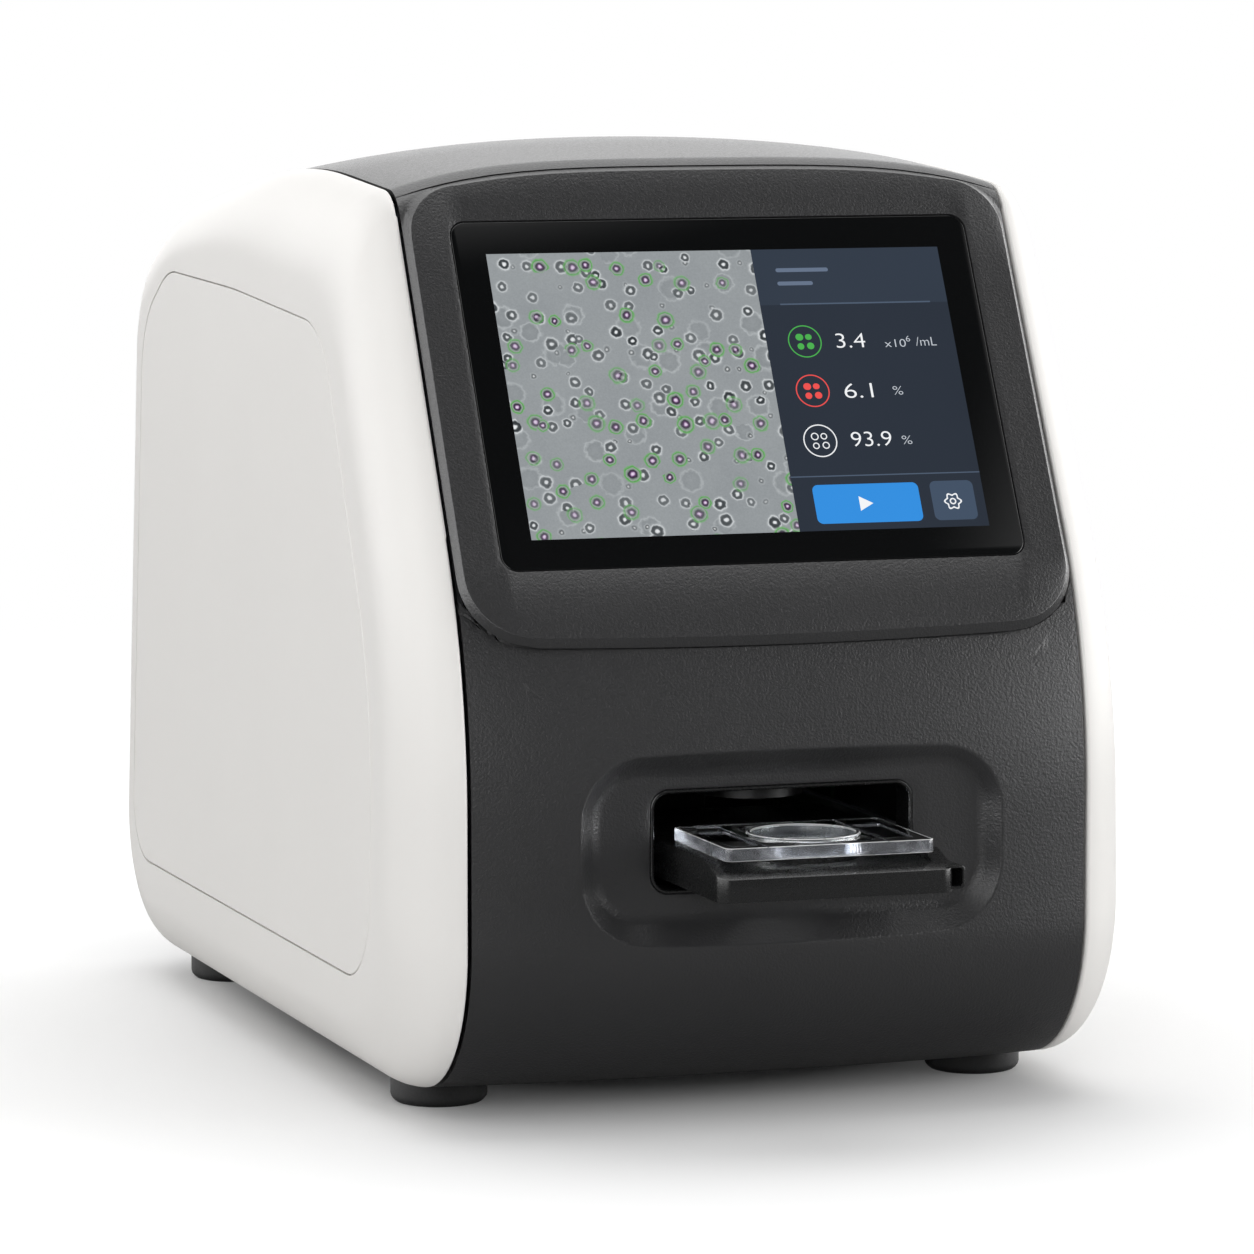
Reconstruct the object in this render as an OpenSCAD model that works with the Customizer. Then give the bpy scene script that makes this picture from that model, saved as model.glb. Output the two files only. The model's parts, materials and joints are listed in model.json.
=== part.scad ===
// Automated cell counter: a bench instrument that images a chamber slide.
// Frame: millimetres, +Z up, front faces -Y, origin under the middle of the
// whole instrument with its tray out, on the surface that it stands on.
// Construction: a sheet-metal base plate and two side frames carry four
// moulded covers, the leaning display, and the optics with their tray drive.

/* [Housing] */
// Overall width across the two side covers
body_w = 274; // [268:1:280]
// Half width of the dark centre section, to the middle of the seam
seam_x = 114; // [113:0.5:115]
// Upright front of the centre section, at its seam
front_y = -179; // [-181:1:-177]
// Rear face of the housing
rear_y = 234.5; // [232:0.5:236]
// Underside of the housing above the table
base_z = 10; // [9:0.5:11]
// Wall of the moulded covers
wall = 3.2; // [2.8:0.1:3.6]
// Gap between the side covers and the centre section
seam_gap = 1.2; // [0.8:0.1:1.6]
// Crown of the top across its width
top_crown = 11; // [8:0.5:13]
// Crown of the upright front across its width
front_crown = 7.5; // [5:0.5:9]

/* [Display] */
// Lean of the display from upright, degrees
lean = 28.5; // [28:0.1:29]
// Middle of the display face
face_mid = [0, -132.2, 253.2];
// Cover glass
glass_w = 193.8; // [190:0.1:196]
glass_h = 133.4; // [130:0.1:136]
// Lit area of the screen
screen_w = 170; // [165:0.5:174]
screen_h = 109.4; // [105:0.2:112]
// Width of the chamfer around the display face
chamfer = 2.7; // [2:0.1:3]

/* [Sample tray] */
// How far the tray stands out when it is open
tray_travel = 56; // [50:1:58]
// Front edge of the open tray
tray_front = -234.5; // [-236:0.5:-232]
// Half width of the tray
tray_half_w = 42.8; // [42:0.1:43]
// Underside of the tray
tray_z = 87.1; // [87:0.1:87.2]
// Chamber slide, across and along the tray
slide_w = 76; // [75:0.5:76.5]
slide_l = 56.6; // [54:0.2:58]
// Gear module and teeth of the tray drive
gear_module = 1; // [1]
pinion_teeth = 18; // [18]

/* [Hidden] */

eps = 0.01;
shell_white = "#F0EFED";
shell_dark = "#3C3D3F";
moulded_black = "#1E1F20";
steel_grey = "#9DA1A5";
board_green = "#20553A";

// ---- small plane geometry, points as [y, z] or [x, y] ----
function unit(v) = v / norm(v);
function turn(v, a) = [v[0] * cos(a) - v[1] * sin(a), v[0] * sin(a) + v[1] * cos(a)];
function cross2(u, v) = u[0] * v[1] - u[1] * v[0];
function mix(a, b, t) = a * (1 - t) + b * t;
function flatten(l) = [for (a = l) for (b = a) b];
function reverse(l) = [for (i = [len(l) - 1 : -1 : 0]) l[i]];

// n + 1 points of the round of radius r that replaces corner b of a path a, b, c
function fillet(a, b, c, r, n) =
    let (u = unit(a - b), v = unit(c - b),
        half = acos(u * v) / 2,
        centre = b + unit(u + v) * r / sin(half),
        start = b + u * r / tan(half) - centre,
        side = cross2(b - a, c - b) > 0 ? 1 : -1)
    [for (i = [0 : n]) centre + turn(start, side * (180 - 2 * half) * i / n)];

// Corner b moved inwards by d1 from line a-b and by d2 from line b-c
function inset_corner(a, b, c, d1, d2) =
    let (u = unit(a - b), v = unit(c - b), s = abs(cross2(u, v)))
    b + (v * d1 + u * d2) / s;

// Closed path of corners [y, z], each rounded by its radius with its own step count
function rounded(corners, radii, steps) =
    let (k = len(corners))
    flatten([for (i = [0 : k - 1])
        fillet(corners[(i + k - 1) % k], corners[i], corners[(i + 1) % k], radii[i], steps[i])]);

// Closed path of corners moved inwards, edge i running from corner i to the next
function inset_path(corners, insets) =
    let (k = len(corners))
    [for (i = [0 : k - 1])
        inset_corner(corners[(i + k - 1) % k], corners[i], corners[(i + 1) % k],
            insets[(i + k - 1) % k], insets[i])];

// ---- side view of the housing at the seam ----
// Corners: bottom front, knee, brow, crest, rear shoulder, rear top, bottom rear
lean_slope = tan(lean);
chamfer_depth = chamfer;
// Seam line that leans with the display, chamfer_depth behind its face
function lean_y(z, behind) =
    face_mid[1] + (z - face_mid[2]) * lean_slope + behind / cos(lean);
function lean_z(y, behind) = face_mid[2] + (y - face_mid[1] - behind / cos(lean)) / lean_slope;
brow_z = 322.8;
crest = [14, 329.8];
rear_shoulder = [168, 307.8];
rear_top_z = 281;
// The rear leans in by this much for each millimetre of height
rear_lean = 0.05;
function rear_line(z) = rear_y - rear_lean * (z - base_z);
seam_corners = [
    [front_y, base_z],
    [front_y, lean_z(front_y, chamfer_depth)],
    [lean_y(brow_z, chamfer_depth), brow_z],
    crest,
    rear_shoulder,
    [rear_line(rear_top_z), rear_top_z],
    [rear_y, base_z]];
seam_radii = [56, 200, 16, 450, 215, 31, 52];
seam_steps = [8, 9, 5, 6, 4, 5, 8];
seam_path = rounded(seam_corners, seam_radii, seam_steps);

// Outline of the flat side of a cover, inside the seam outline
side_insets = [34, 34, 38, 22, 22, 19, 23];
side_corners = inset_path(seam_corners, side_insets);
side_radii = [50, 200, 60, 400, 110, 40, 34];
side_path = rounded(side_corners, side_radii, seam_steps);

function inset_seam(d) =
    rounded(inset_path(seam_corners, [d, d, d, d, d, d, d]),
        [for (r = seam_radii) max(r - d, 1.5)], seam_steps);

// Side of the housing leans in by this much for each millimetre of height
side_draft = 0.015;
side_x = body_w / 2;
function side_plane(z) = side_x - side_draft * z;

// ---- shell builders ----
// Solid skinned over rings of equal length, closed by a flat face at each end
module skin(rings) {
    n = len(rings[0]);
    m = len(rings);
    sides = [for (i = [0 : m - 2], j = [0 : n - 1])
        let (a = i * n + j, b = i * n + (j + 1) % n, c = a + n, d = b + n)
        each [[a, c, b], [b, c, d]]];
    ends = [[for (j = [0 : n - 1]) j], [for (j = [n - 1 : -1 : 0]) (m - 1) * n + j]];
    polyhedron(flatten(rings), concat(sides, ends), convexity = 8);
}

// Curved wall between an outer and an inner grid of the same rows and columns
module curved_wall(outer, inner) {
    r = len(outer);
    c = len(outer[0]);
    n = r * c;
    grid = [for (i = [0 : r - 2], j = [0 : c - 2])
        let (a = i * c + j, b = a + 1, d = a + c, e = d + 1) [a, b, e, d]];
    outer_faces = [for (q = grid) each [[q[0], q[2], q[1]], [q[0], q[3], q[2]]]];
    inner_faces = [for (q = grid) each [[n + q[0], n + q[1], n + q[2]], [n + q[0], n + q[2], n + q[3]]]];
    rim = concat(
        [for (j = [0 : c - 1]) j],
        [for (i = [1 : r - 1]) i * c + c - 1],
        [for (j = [c - 2 : -1 : 0]) (r - 1) * c + j],
        [for (i = [r - 2 : -1 : 1]) i * c]);
    k = len(rim);
    rim_faces = [for (i = [0 : k - 1])
        let (a = rim[i], b = rim[(i + 1) % k]) each [[a, b, n + a], [b, n + b, n + a]]];
    polyhedron(concat(flatten(outer), flatten(inner)),
        concat(outer_faces, inner_faces, rim_faces), convexity = 8);
}

// Side-view outline [y, z] made solid from x0 to x1
module slab(x0, x1) {
    translate([x0, 0, 0]) rotate([90, 0, 90]) linear_extrude(x1 - x0) children();
}
module both_sides() {
    children();
    mirror([1, 0, 0]) children();
}
// Work on the display face: x across, y up the face, z out of it
module on_face() {
    translate(face_mid) rotate([90 - lean, 0, 0]) children();
}
module rounded_rect(w, h, r) {
    for (sx = [-1, 1], sy = [-1, 1])
        translate([sx * (w / 2 - r), sy * (h / 2 - r)]) circle(r, $fn = 48);
    square([w - 2 * r, h], center = true);
    square([w, h - 2 * r], center = true);
}

// ---- side covers ----
cover_steps = 6;
cover_start = seam_x + seam_gap / 2;
side_wall = 5;
cover_in_path = inset_seam(wall);
side_in_path = rounded(inset_path(side_corners, [1, 1, 1, 1, 1, 1, 1]),
    [for (r = side_radii) r - 1], seam_steps);

// Ring of a cover at turn a from the seam (0) to the flat side (90), left-hand side
function cover_ring(from, to, thin, a) =
    [for (i = [0 : len(from) - 1])
        let (p = mix(from[i], to[i], 1 - cos(a)))
        [-(cover_start + (side_plane(p[1]) - thin - cover_start) * sin(a)), p[0], p[1]]];

// Access panel: its corners answer those of the seam one by one, from the bottom front
panel_inset = 48;
panel_bottom = 47;
panel_front_y = front_y + panel_inset;
panel_brow_z = 274.5;
panel_corners = [
    [panel_front_y, panel_bottom],
    [panel_front_y, lean_z(panel_front_y, chamfer_depth + panel_inset)],
    [lean_y(panel_brow_z, chamfer_depth + panel_inset), panel_brow_z],
    [60, 281.5],
    [158, 283.5],
    [197.5, 261],
    [208.5, panel_bottom]];
panel_radii = [29, 150, 41, 600, 45, 38, 25];
panel_gap = 0.6;
panel_t = 2;
function panel_path(d) =
    rounded(inset_path(panel_corners, [for (c = panel_corners) d]), [for (r = panel_radii) r - d],
        seam_steps);
function side_ring(path, depth) = [for (p = path) [-(side_plane(p[1]) - depth), p[0], p[1]]];

// Places a side-view outline flat on the leaning outer side, t deep
module on_left_side(depth0, depth1) {
    translate([-side_x, 0, 0]) rotate([0, atan(side_draft), 0])
        slab(depth0, depth1) children();
}
cover_boss_places = [[-140, 60], [-140, 150], [-20, 250], [150, 240], [195, 80], [40, 40]];
frame_x = 111;
frame_t = 2;
module left_cover() {
    color(shell_white) {
        skin(concat(
            [for (i = [cover_steps : -1 : 0])
                cover_ring(cover_in_path, side_in_path, side_wall, 90 * i / cover_steps)],
            [for (i = [0 : cover_steps]) cover_ring(seam_path, side_path, 0, 90 * i / cover_steps)],
            [side_ring(panel_path(0), 0), side_ring(panel_path(0), panel_t + eps)]));
        for (p = cover_boss_places)
            translate([-side_x + side_wall + side_draft * p[1] - 1, p[0], p[1]]) rotate([0, 90, 0])
                cylinder(h = side_x - side_wall - side_draft * p[1] + 1 - frame_x, r = 5, $fn = 32);
    }
}
module right_cover() { mirror([1, 0, 0]) left_cover(); }
module left_access_panel() {
    color(shell_white) on_left_side(0, panel_t) polygon(panel_path(panel_gap));
}
module right_access_panel() { mirror([1, 0, 0]) left_access_panel(); }

// ---- centre section ----
centre_x = seam_x - seam_gap / 2;
flange_t = centre_x - frame_x;
flange_depth = 14;
// Columns across the centre section, closer together at its edges
half_columns = [0, 28, 56, 76, 88, 93, 98, 102.5, 106, 109, seam_x - chamfer, centre_x];
columns = concat([for (i = [len(half_columns) - 1 : -1 : 1]) -half_columns[i]], half_columns);

// Display face outline: round lower corners and a bottom edge that bows down
face_corner_r = 26;
face_bottom = -94;
face_bow = 1.8;
corner_x = seam_x - face_corner_r;
corner_y = face_bottom + face_corner_r;
function face_turn(x) = asin(min(1, (abs(x) - corner_x) / face_corner_r));
// Point of the lower outline of the face, d inside it
function face_edge(x, d) =
    abs(x) <= corner_x
    ? [x, face_bottom - face_bow * (1 - pow(x / corner_x, 2)) + d]
    : let (a = face_turn(x), s = sign(x))
        [s * (corner_x + (face_corner_r - d) * sin(a)), corner_y - (face_corner_r - d) * cos(a)];
function from_face(p) =
    [p[0], face_mid[1] + p[1] * sin(lean) - p[2] * cos(lean),
        face_mid[2] + p[1] * cos(lean) + p[2] * sin(lean)];

hood_rear_z = 215;
face_wall = 4.6;
// The brow is flatter across its middle than the top behind it
brow_crown = 9.7;
function crown_at(x) = top_crown * (1 - pow(x / centre_x, 2));
function hood_corners(x) =
    let (behind = abs(x) > seam_x - chamfer + eps ? chamfer_depth : 0,
        up = crown_at(x),
        a = crest + [0, up],
        slope = (crest[1] - brow_z) / (crest[0] - lean_y(brow_z, chamfer_depth)),
        // brow: where the face line meets the crowned top line
        z0 = brow_z + brow_crown * (1 - pow(abs(x) / centre_x, 4)),
        y0 = lean_y(brow_z, chamfer_depth),
        z = (z0 + slope * (lean_y(0, behind) - y0)) / (1 - slope * lean_slope))
    [[lean_y(200, behind), 200],
        [lean_y(z, behind), z],
        a,
        rear_shoulder + [0, up],
        [rear_line(rear_top_z), rear_top_z + up * 0.7],
        [rear_line(hood_rear_z), hood_rear_z]];
hood_radii = [16, 450, 215, 31];
hood_steps = [5, 6, 4, 5];
function open_path(c, radii) =
    concat([for (i = [1 : 4]) each fillet(c[i - 1], c[i], c[i + 1], radii[i - 1], hood_steps[i - 1])],
        [c[5]]);
function hood_outer(x) =
    concat([from_face(concat(face_edge(x, 0), [-chamfer_depth])),
        from_face(concat(face_edge(x, abs(x) > centre_x - 1 ? 0.2 : chamfer),
            [abs(x) > centre_x - 1 ? -chamfer_depth : 0])),
        from_face([x, corner_y + 3, abs(x) > centre_x - 1 ? -chamfer_depth : 0])],
        [for (p = open_path(hood_corners(x), hood_radii)) [x, p[0], p[1]]]);
function hood_inner(x) =
    let (c = hood_corners(x), k = frame_x / centre_x, w = face_wall,
        edge = face_edge(x, 5),
        m = [c[0] + [w / cos(lean), 0],
            inset_corner(c[0], c[1], c[2], w, wall),
            inset_corner(c[1], c[2], c[3], wall, wall),
            inset_corner(c[2], c[3], c[4], wall, wall),
            inset_corner(c[3], c[4], c[5], wall, wall),
            c[5] - [wall, 0]])
    concat([from_face([edge[0] * k, edge[1], -face_wall]),
        from_face([edge[0] * k, edge[1] + 1, -face_wall]),
        from_face([x * k, corner_y + 6, -face_wall])],
        [for (p = open_path(m, [11.4, 447, 212, 28])) [x * k, p[0], p[1]]]);
function by_rows(columns_of_points) =
    [for (i = [0 : len(columns_of_points[0]) - 1]) [for (col = columns_of_points) col[i]]];
// Lower outline of the display face as a closed shape up to height top, d inside it
edge_columns = [for (i = [-14 : 14]) i < -7 ? -(corner_x + face_corner_r * (-7 - i) / 7 * 0.999)
    : i > 7 ? corner_x + face_corner_r * (i - 7) / 7 * 0.999 : corner_x * i / 7];
module face_outline(d, top) {
    ends = seam_x - d;
    polygon(concat([[-ends, top]],
        [for (x = edge_columns) face_edge(x, d)],
        [[ends, top]]));
}
// Return flange band of a moulded cover, cut to a side-view region
module flange_band(region) {
    both_sides() slab(-centre_x, -frame_x) intersection() {
        difference() {
            polygon(inset_seam(1.2));
            polygon(inset_seam(flange_depth));
        }
        polygon(region);
    }
}
hood_region = [[-300, 187], [0, 187], [0, hood_rear_z], [300, hood_rear_z], [300, 400], [-300, 400]];
glass_mid_y = 0.56;
glass_r = 5.7;
glass_t = 1.8;
glass_sink = 0.3;
gasket_t = 0.5;
ledge_w = 186;
ledge_h = 126;
boss_places = [[-102, -45], [-102, 45], [102, -45], [102, 45]];
bracket_depth = 11;
module hood_cover() {
    color(shell_dark) {
        difference() {
            curved_wall(by_rows([for (x = columns) hood_outer(x)]),
                by_rows([for (x = columns) hood_inner(x)]));
            on_face() {
                translate([0, glass_mid_y, -glass_sink - glass_t - gasket_t])
                    linear_extrude(20) rounded_rect(glass_w + 0.8, glass_h + 0.8, glass_r + 0.4);
                translate([0, glass_mid_y, -20]) linear_extrude(40) rounded_rect(ledge_w, ledge_h, 3);
            }
        }
        flange_band(hood_region);
        on_face() {
            // return wall behind the lower edge of the display face
            translate([0, 0, -9]) linear_extrude(6) difference() {
                face_outline(0.8, -63);
                face_outline(3.4, 0);
            }
            for (p = boss_places) translate([p[0], p[1], -bracket_depth])
                cylinder(h = bracket_depth - 3.5, r = 3.6, $fn = 24);
        }
    }
}

// Lower fascia: crowned front that rolls under at the bottom, with a dished slot surround
fascia_wall = 4;
fascia_edge_y = -122.5;
function front_swell(x) = 1 - pow(abs(x) / centre_x, 2.8);
function fascia_line(x, d) =
    let (f = front_crown * front_swell(x), y = front_y - f, b = chamfer_depth - 1.5 * front_swell(x),
        c = [[-60, base_z], [y, base_z], [y, lean_z(y, b)], [lean_y(260, b), 260]],
        p = [c[0], inset_corner(c[0], c[1], c[2], d, d), inset_corner(c[1], c[2], c[3], d, d),
            c[3] + [d / cos(lean), 0]])
    concat([[fascia_edge_y, base_z + d]],
        fillet(p[0] + [0, d], p[1], p[2], seam_radii[0] - d, 8),
        fillet(p[1], p[2], p[3], seam_radii[1] - d, 8));
function fascia_column(x, d, k) = [for (p = fascia_line(x, d)) [x * k, p[0], p[1]]];
fascia_region = [[-300, 0], [fascia_edge_y, 0], [fascia_edge_y, 195], [-300, 195]];
fascia_columns = [for (i = [-8 : 8]) sign(i) * centre_x * (1 - pow(1 - abs(i) / 8, 1.35))];

recess_w = 157;
recess_h = 66.8;
recess_mid_z = 98.5;
recess_r = 26;
recess_floor_y = -178.5;
recess_mouth_y = -186;
recess_slope = 9;
dish_wall = 3.6;
slot_w = 97;
slot_h = 36.4;
slot_mid_z = 100.6;
slot_r = 6.7;
// Recess outline at depth y, as a thin plate
module recess_slice(y) {
    grow = 2 * recess_slope * ((recess_floor_y - y) / (recess_floor_y - recess_mouth_y) - 1);
    translate([0, y, recess_mid_z]) rotate([90, 0, 0])
        linear_extrude(eps, center = true)
            rounded_rect(recess_w + grow, recess_h + grow, recess_r + grow / 2);
}
module through_front(y0, y1, z) {
    translate([0, y1, z]) rotate([90, 0, 0]) linear_extrude(y1 - y0) children();
}
module lower_fascia() {
    color(shell_dark) difference() {
        union() {
            curved_wall(by_rows([for (x = fascia_columns) fascia_column(x, 0, 1)]),
                by_rows([for (x = fascia_columns) fascia_column(x, fascia_wall, frame_x / centre_x)]));
            flange_band(fascia_region);
            translate([0, dish_wall, 0]) hull() {
                recess_slice(-188);
                recess_slice(recess_floor_y);
            }
        }
        hull() {
            recess_slice(-198);
            recess_slice(recess_floor_y);
        }
        through_front(-182, -170, slot_mid_z) rounded_rect(slot_w, slot_h, slot_r);
        on_face() translate([0, 0, -30]) linear_extrude(50) face_outline(-0.6, 30);
    }
}

// Rear cover: plain section, rolled under at the bottom, open for the connector panel
rear_start_y = 182.5;
panel_open_w = 184;
panel_open_h = 146;
panel_mid_z = 115;
bay_wall = 2.5;
// Outer face of the upright connector panel, at the bottom of its bay
panel_out_y = 221.5;
rear_region = [[rear_start_y, 0], [300, 0], [300, hood_rear_z - 1], [rear_start_y, hood_rear_z - 1]];
module rear_cover() {
    color(shell_dark) difference() {
        union() {
            slab(-centre_x, centre_x) intersection() {
                difference() {
                    polygon(seam_path);
                    polygon(inset_seam(wall));
                }
                polygon(rear_region);
            }
            flange_band(rear_region);
            intersection() {
                slab(-centre_x, centre_x) polygon(inset_seam(eps));
                through_front(panel_out_y, rear_y, panel_mid_z)
                    rounded_rect(panel_open_w + 2 * bay_wall, panel_open_h + 2 * bay_wall, 6 + bay_wall);
            }
        }
        through_front(panel_out_y - 1, rear_y + 5, panel_mid_z) rounded_rect(panel_open_w, panel_open_h, 6);
    }
}

// ---- sheet-metal structure ----
plate_t = 2.5;
foot_x = 102;
foot_ys = [-101.5, 179];
foot_screw_r = 2;
base_top = base_z + plate_t;
module base_plate() {
    color(steel_grey) difference() {
        translate([-centre_x, fascia_edge_y + 0.1, base_z])
            cube([2 * centre_x, rear_start_y - fascia_edge_y - 0.1, plate_t]);
        for (x = [-foot_x, foot_x], y = foot_ys)
            translate([x, y, base_z - 1]) cylinder(h = plate_t + 2, r = foot_screw_r + 0.2, $fn = 24);
        for (i = [-5 : 5]) translate([i * 12, 60, base_z - 1]) linear_extrude(plate_t + 2)
            rounded_rect(4, 60, 1.9);
    }
}
frame_insets = [6, 9.5, 6, 6, 6, 6, plate_t];
frame_radii = [58, 190, 12, 440, 205, 25, 50];
module left_frame() {
    color(steel_grey) slab(-frame_x, -frame_x + frame_t) difference() {
        polygon(rounded(inset_path(seam_corners, frame_insets), frame_radii, seam_steps));
        // clear of the rolled ends of the fascia and the rear cover
        translate([-200, 0]) square([200 + fascia_edge_y + 1, base_z + 6]);
        translate([rear_start_y - 0.5, 0]) square([80, base_z + 6]);
        translate([-70, 110]) rounded_rect(100, 104, 12);
        translate([100, 135]) rounded_rect(100, 70, 12);
        translate([60, 255]) rounded_rect(110, 50, 12);
    }
}
module right_frame() { mirror([1, 0, 0]) left_frame(); }

// ---- feet ----
foot_r = 17.3;
module foot() {
    color("#1A1A1B") rotate_extrude($fn = 72) polygon([
        [7, 0], [foot_r - 3, 0], [foot_r - 1, 1], [foot_r, 3], [foot_r, base_z - 0.8], [10, base_z - 0.8],
        [10, base_z], [foot_screw_r + 0.1, base_z], [foot_screw_r + 0.1, 6], [7, 6]]);
}
module foot_front_left() { translate([-foot_x, foot_ys[0], 0]) foot(); }
module foot_front_right() { translate([foot_x, foot_ys[0], 0]) foot(); }
module foot_rear_left() { translate([-foot_x, foot_ys[1], 0]) foot(); }
module foot_rear_right() { translate([foot_x, foot_ys[1], 0]) foot(); }
module foot_screws() {
    color("silver") for (x = [-foot_x, foot_x], y = foot_ys)
        translate([x, y, 0]) {
            translate([0, 0, 3]) cylinder(h = 3, r = 4, $fn = 32);
            translate([0, 0, 5]) cylinder(h = 13, r = foot_screw_r, $fn = 24);
        }
}

// ---- display ----
module touch_glass() {
    color("#0F1012") on_face() translate([0, glass_mid_y, -glass_sink - glass_t])
        linear_extrude(glass_t) rounded_rect(glass_w, glass_h, glass_r);
}
module glass_gasket() {
    color("#141414") on_face() translate([0, glass_mid_y, -glass_sink - glass_t - gasket_t])
        linear_extrude(gasket_t) difference() {
            rounded_rect(glass_w - 1, glass_h - 1, glass_r);
            rounded_rect(ledge_w + 0.6, ledge_h + 0.6, 3);
        }
}
screen_t = 0.7;
screen_back = glass_sink + glass_t + screen_t;
module lcd_screen() {
    color("#2B3544") on_face() translate([0, 0, -screen_back])
        linear_extrude(screen_t) square([screen_w + 4, screen_h + 4], center = true);
}
module lcd_module() {
    color("#B9BCC0") on_face() {
        translate([0, 0, -bracket_depth]) linear_extrude(bracket_depth - screen_back)
            rounded_rect(182, 121, 2);
    }
}
module display_bracket() {
    color(steel_grey) on_face() translate([0, 0, -bracket_depth - 1.5]) linear_extrude(1.5) difference() {
        rounded_rect(214, 104, 4);
        rounded_rect(150, 70, 6);
    }
}

// ---- sample slot, tray and slide ----
liner_wall = 1.4;
liner_end_y = -166;
module slot_liner() {
    color(moulded_black) difference() {
        union() {
            through_front(recess_floor_y, liner_end_y, slot_mid_z)
                rounded_rect(slot_w - 0.2, slot_h - 0.2, slot_r - 0.1);
            through_front(recess_floor_y + dish_wall, recess_floor_y + dish_wall + 1.5, slot_mid_z)
                rounded_rect(slot_w + 8, slot_h + 8, slot_r + 4);
        }
        through_front(recess_floor_y - 1, liner_end_y + 1, slot_mid_z)
            rounded_rect(slot_w - 2 * liner_wall, slot_h - 2 * liner_wall, slot_r - liner_wall);
    }
}
tray_rear = -100;
lip_h = 8;
ledge_z = 100.2;
bevel_y = tray_front + 17;
slide_mid_y = tray_front + 35.3;
slide_t = 4.6;
slide_corner_r = 3;
aperture_r = 19.5;
runner_z = 90;
runner_h = 4;
runner_w = 3.7;
runner_start = -157;
rail_x = 54;
rail_end = -40;
// Low basin between the two cheeks that the slide rests on
basin_z = 96.9;
basin_half_w = 36.8;
basin_end = -175;
// Thumb hook on the right side: a small pocket open to the front
hook_x = 46.7;
hook_wall = 1;
hook_start = tray_front + 1.2;
hook_l = 11.8;
hook_z = 88;
hook_h = 8.2;
module slide_tray() {
    color(moulded_black) {
        difference() {
            intersection() {
                slab(-tray_half_w, tray_half_w) polygon([
                    [tray_front, tray_z], [tray_front, tray_z + lip_h], [bevel_y, ledge_z],
                    [tray_rear, ledge_z], [tray_rear, tray_z]]);
                translate([0, (tray_front + tray_rear) / 2, tray_z - 1]) linear_extrude(20)
                    rounded_rect(2 * tray_half_w, tray_rear - tray_front, 4.5);
            }
            translate([-basin_half_w, tray_front - 1, basin_z])
                cube([2 * basin_half_w, basin_end - tray_front + 1, 20]);
            translate([0, slide_mid_y, tray_z - 1]) cylinder(h = 20, r = aperture_r, $fn = 72);
        }
        difference() {
            translate([tray_half_w - 2, hook_start, hook_z])
                cube([hook_x - tray_half_w + 2, hook_l, hook_h]);
            translate([tray_half_w, hook_start - 1, hook_z + hook_wall])
                cube([hook_x - hook_wall - tray_half_w, hook_l, hook_h - 2 * hook_wall]);
        }
        both_sides() translate([tray_half_w - 1, runner_start, runner_z])
            cube([runner_w + 1, tray_rear - runner_start, runner_h]);
    }
}
// Middle and size of each engraved field, from the middle of the slide
slide_fields = [[-29.5, -5.8, 9.8, 34.8], [-27.6, 23.2, 8, 6], [27.8, -4, 10.2, 33.5]];
module sample_slide() {
    color("#DDE6EA", 0.5) translate([0, slide_mid_y, ledge_z]) difference() {
        union() {
            linear_extrude(slide_t) rounded_rect(slide_w, slide_l, slide_corner_r);
            cylinder(h = slide_t + 0.6, r = 19.6, $fn = 72);
        }
        translate([0, 0, -1]) cylinder(h = slide_t + 3, r = 18, $fn = 72);
        // engraved fields and dividing grooves at both ends
        for (f = slide_fields) translate([f[0], f[1], slide_t - 0.5]) linear_extrude(2)
            rounded_rect(f[2], f[3], 1);
        for (x = [-23, 20.8]) translate([x - 0.2, -slide_l / 2 - 1, slide_t - 0.3])
            cube([0.4, slide_l + 2, 2]);
    }
}
module left_rail() {
    color(steel_grey) difference() {
        translate([-rail_x, runner_start - 1, tray_z - 1.1]) cube([10.4, rail_end - runner_start + 1, 12]);
        translate([-tray_half_w - runner_w - 0.5, runner_start - 2, runner_z - 0.4])
            cube([10, rail_end - runner_start + 3, runner_h + 0.8]);
    }
}
module right_rail() { mirror([1, 0, 0]) left_rail(); }

// ---- rack and pinion ----
pressure_angle = 20;
backlash = 0.12;
pinion_r = gear_module * pinion_teeth / 2;
pitch_z = tray_z - 3.25 * gear_module;
pinion_z = pitch_z - pinion_r;
pinion_y = -104;
rack_x = 28;
rack_w = 6;
tooth_pitch = PI * gear_module;
rack_teeth = 20;
rack_end_y = pinion_y + 1.5 * tooth_pitch;
module rack_profile() {
    a = gear_module;
    half = tooth_pitch / 4 - backlash / 2;
    // tooth centres lie half a pitch from the pinion's axis
    for (i = [0 : rack_teeth - 1]) translate([rack_end_y - tooth_pitch * (i + 1), pitch_z])
        polygon([[-half - 1.25 * a * tan(pressure_angle), 1.25 * a + 0.1],
            [-half + a * tan(pressure_angle), -a], [half - a * tan(pressure_angle), -a],
            [half + 1.25 * a * tan(pressure_angle), 1.25 * a + 0.1]]);
    translate([rack_end_y - tooth_pitch * (rack_teeth + 0.5), pitch_z + 1.25 * a])
        square([tooth_pitch * rack_teeth, 2 * a]);
}
module tray_rack() {
    color("#C9C3B4") slab(rack_x, rack_x + rack_w) rack_profile();
}
function involute(a) = tan(a) * 180 / PI - a;
base_r = pinion_r * cos(pressure_angle);
root_r = pinion_r - 1.25 * gear_module;
tip_r = pinion_r + gear_module;
function flank_angle(r) =
    90 / pinion_teeth - backlash / pinion_r * 45 / PI + involute(pressure_angle) - involute(acos(min(1, base_r / r)));
flank_rs = [for (i = [0 : 4]) mix(base_r, tip_r, i / 4)];
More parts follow.
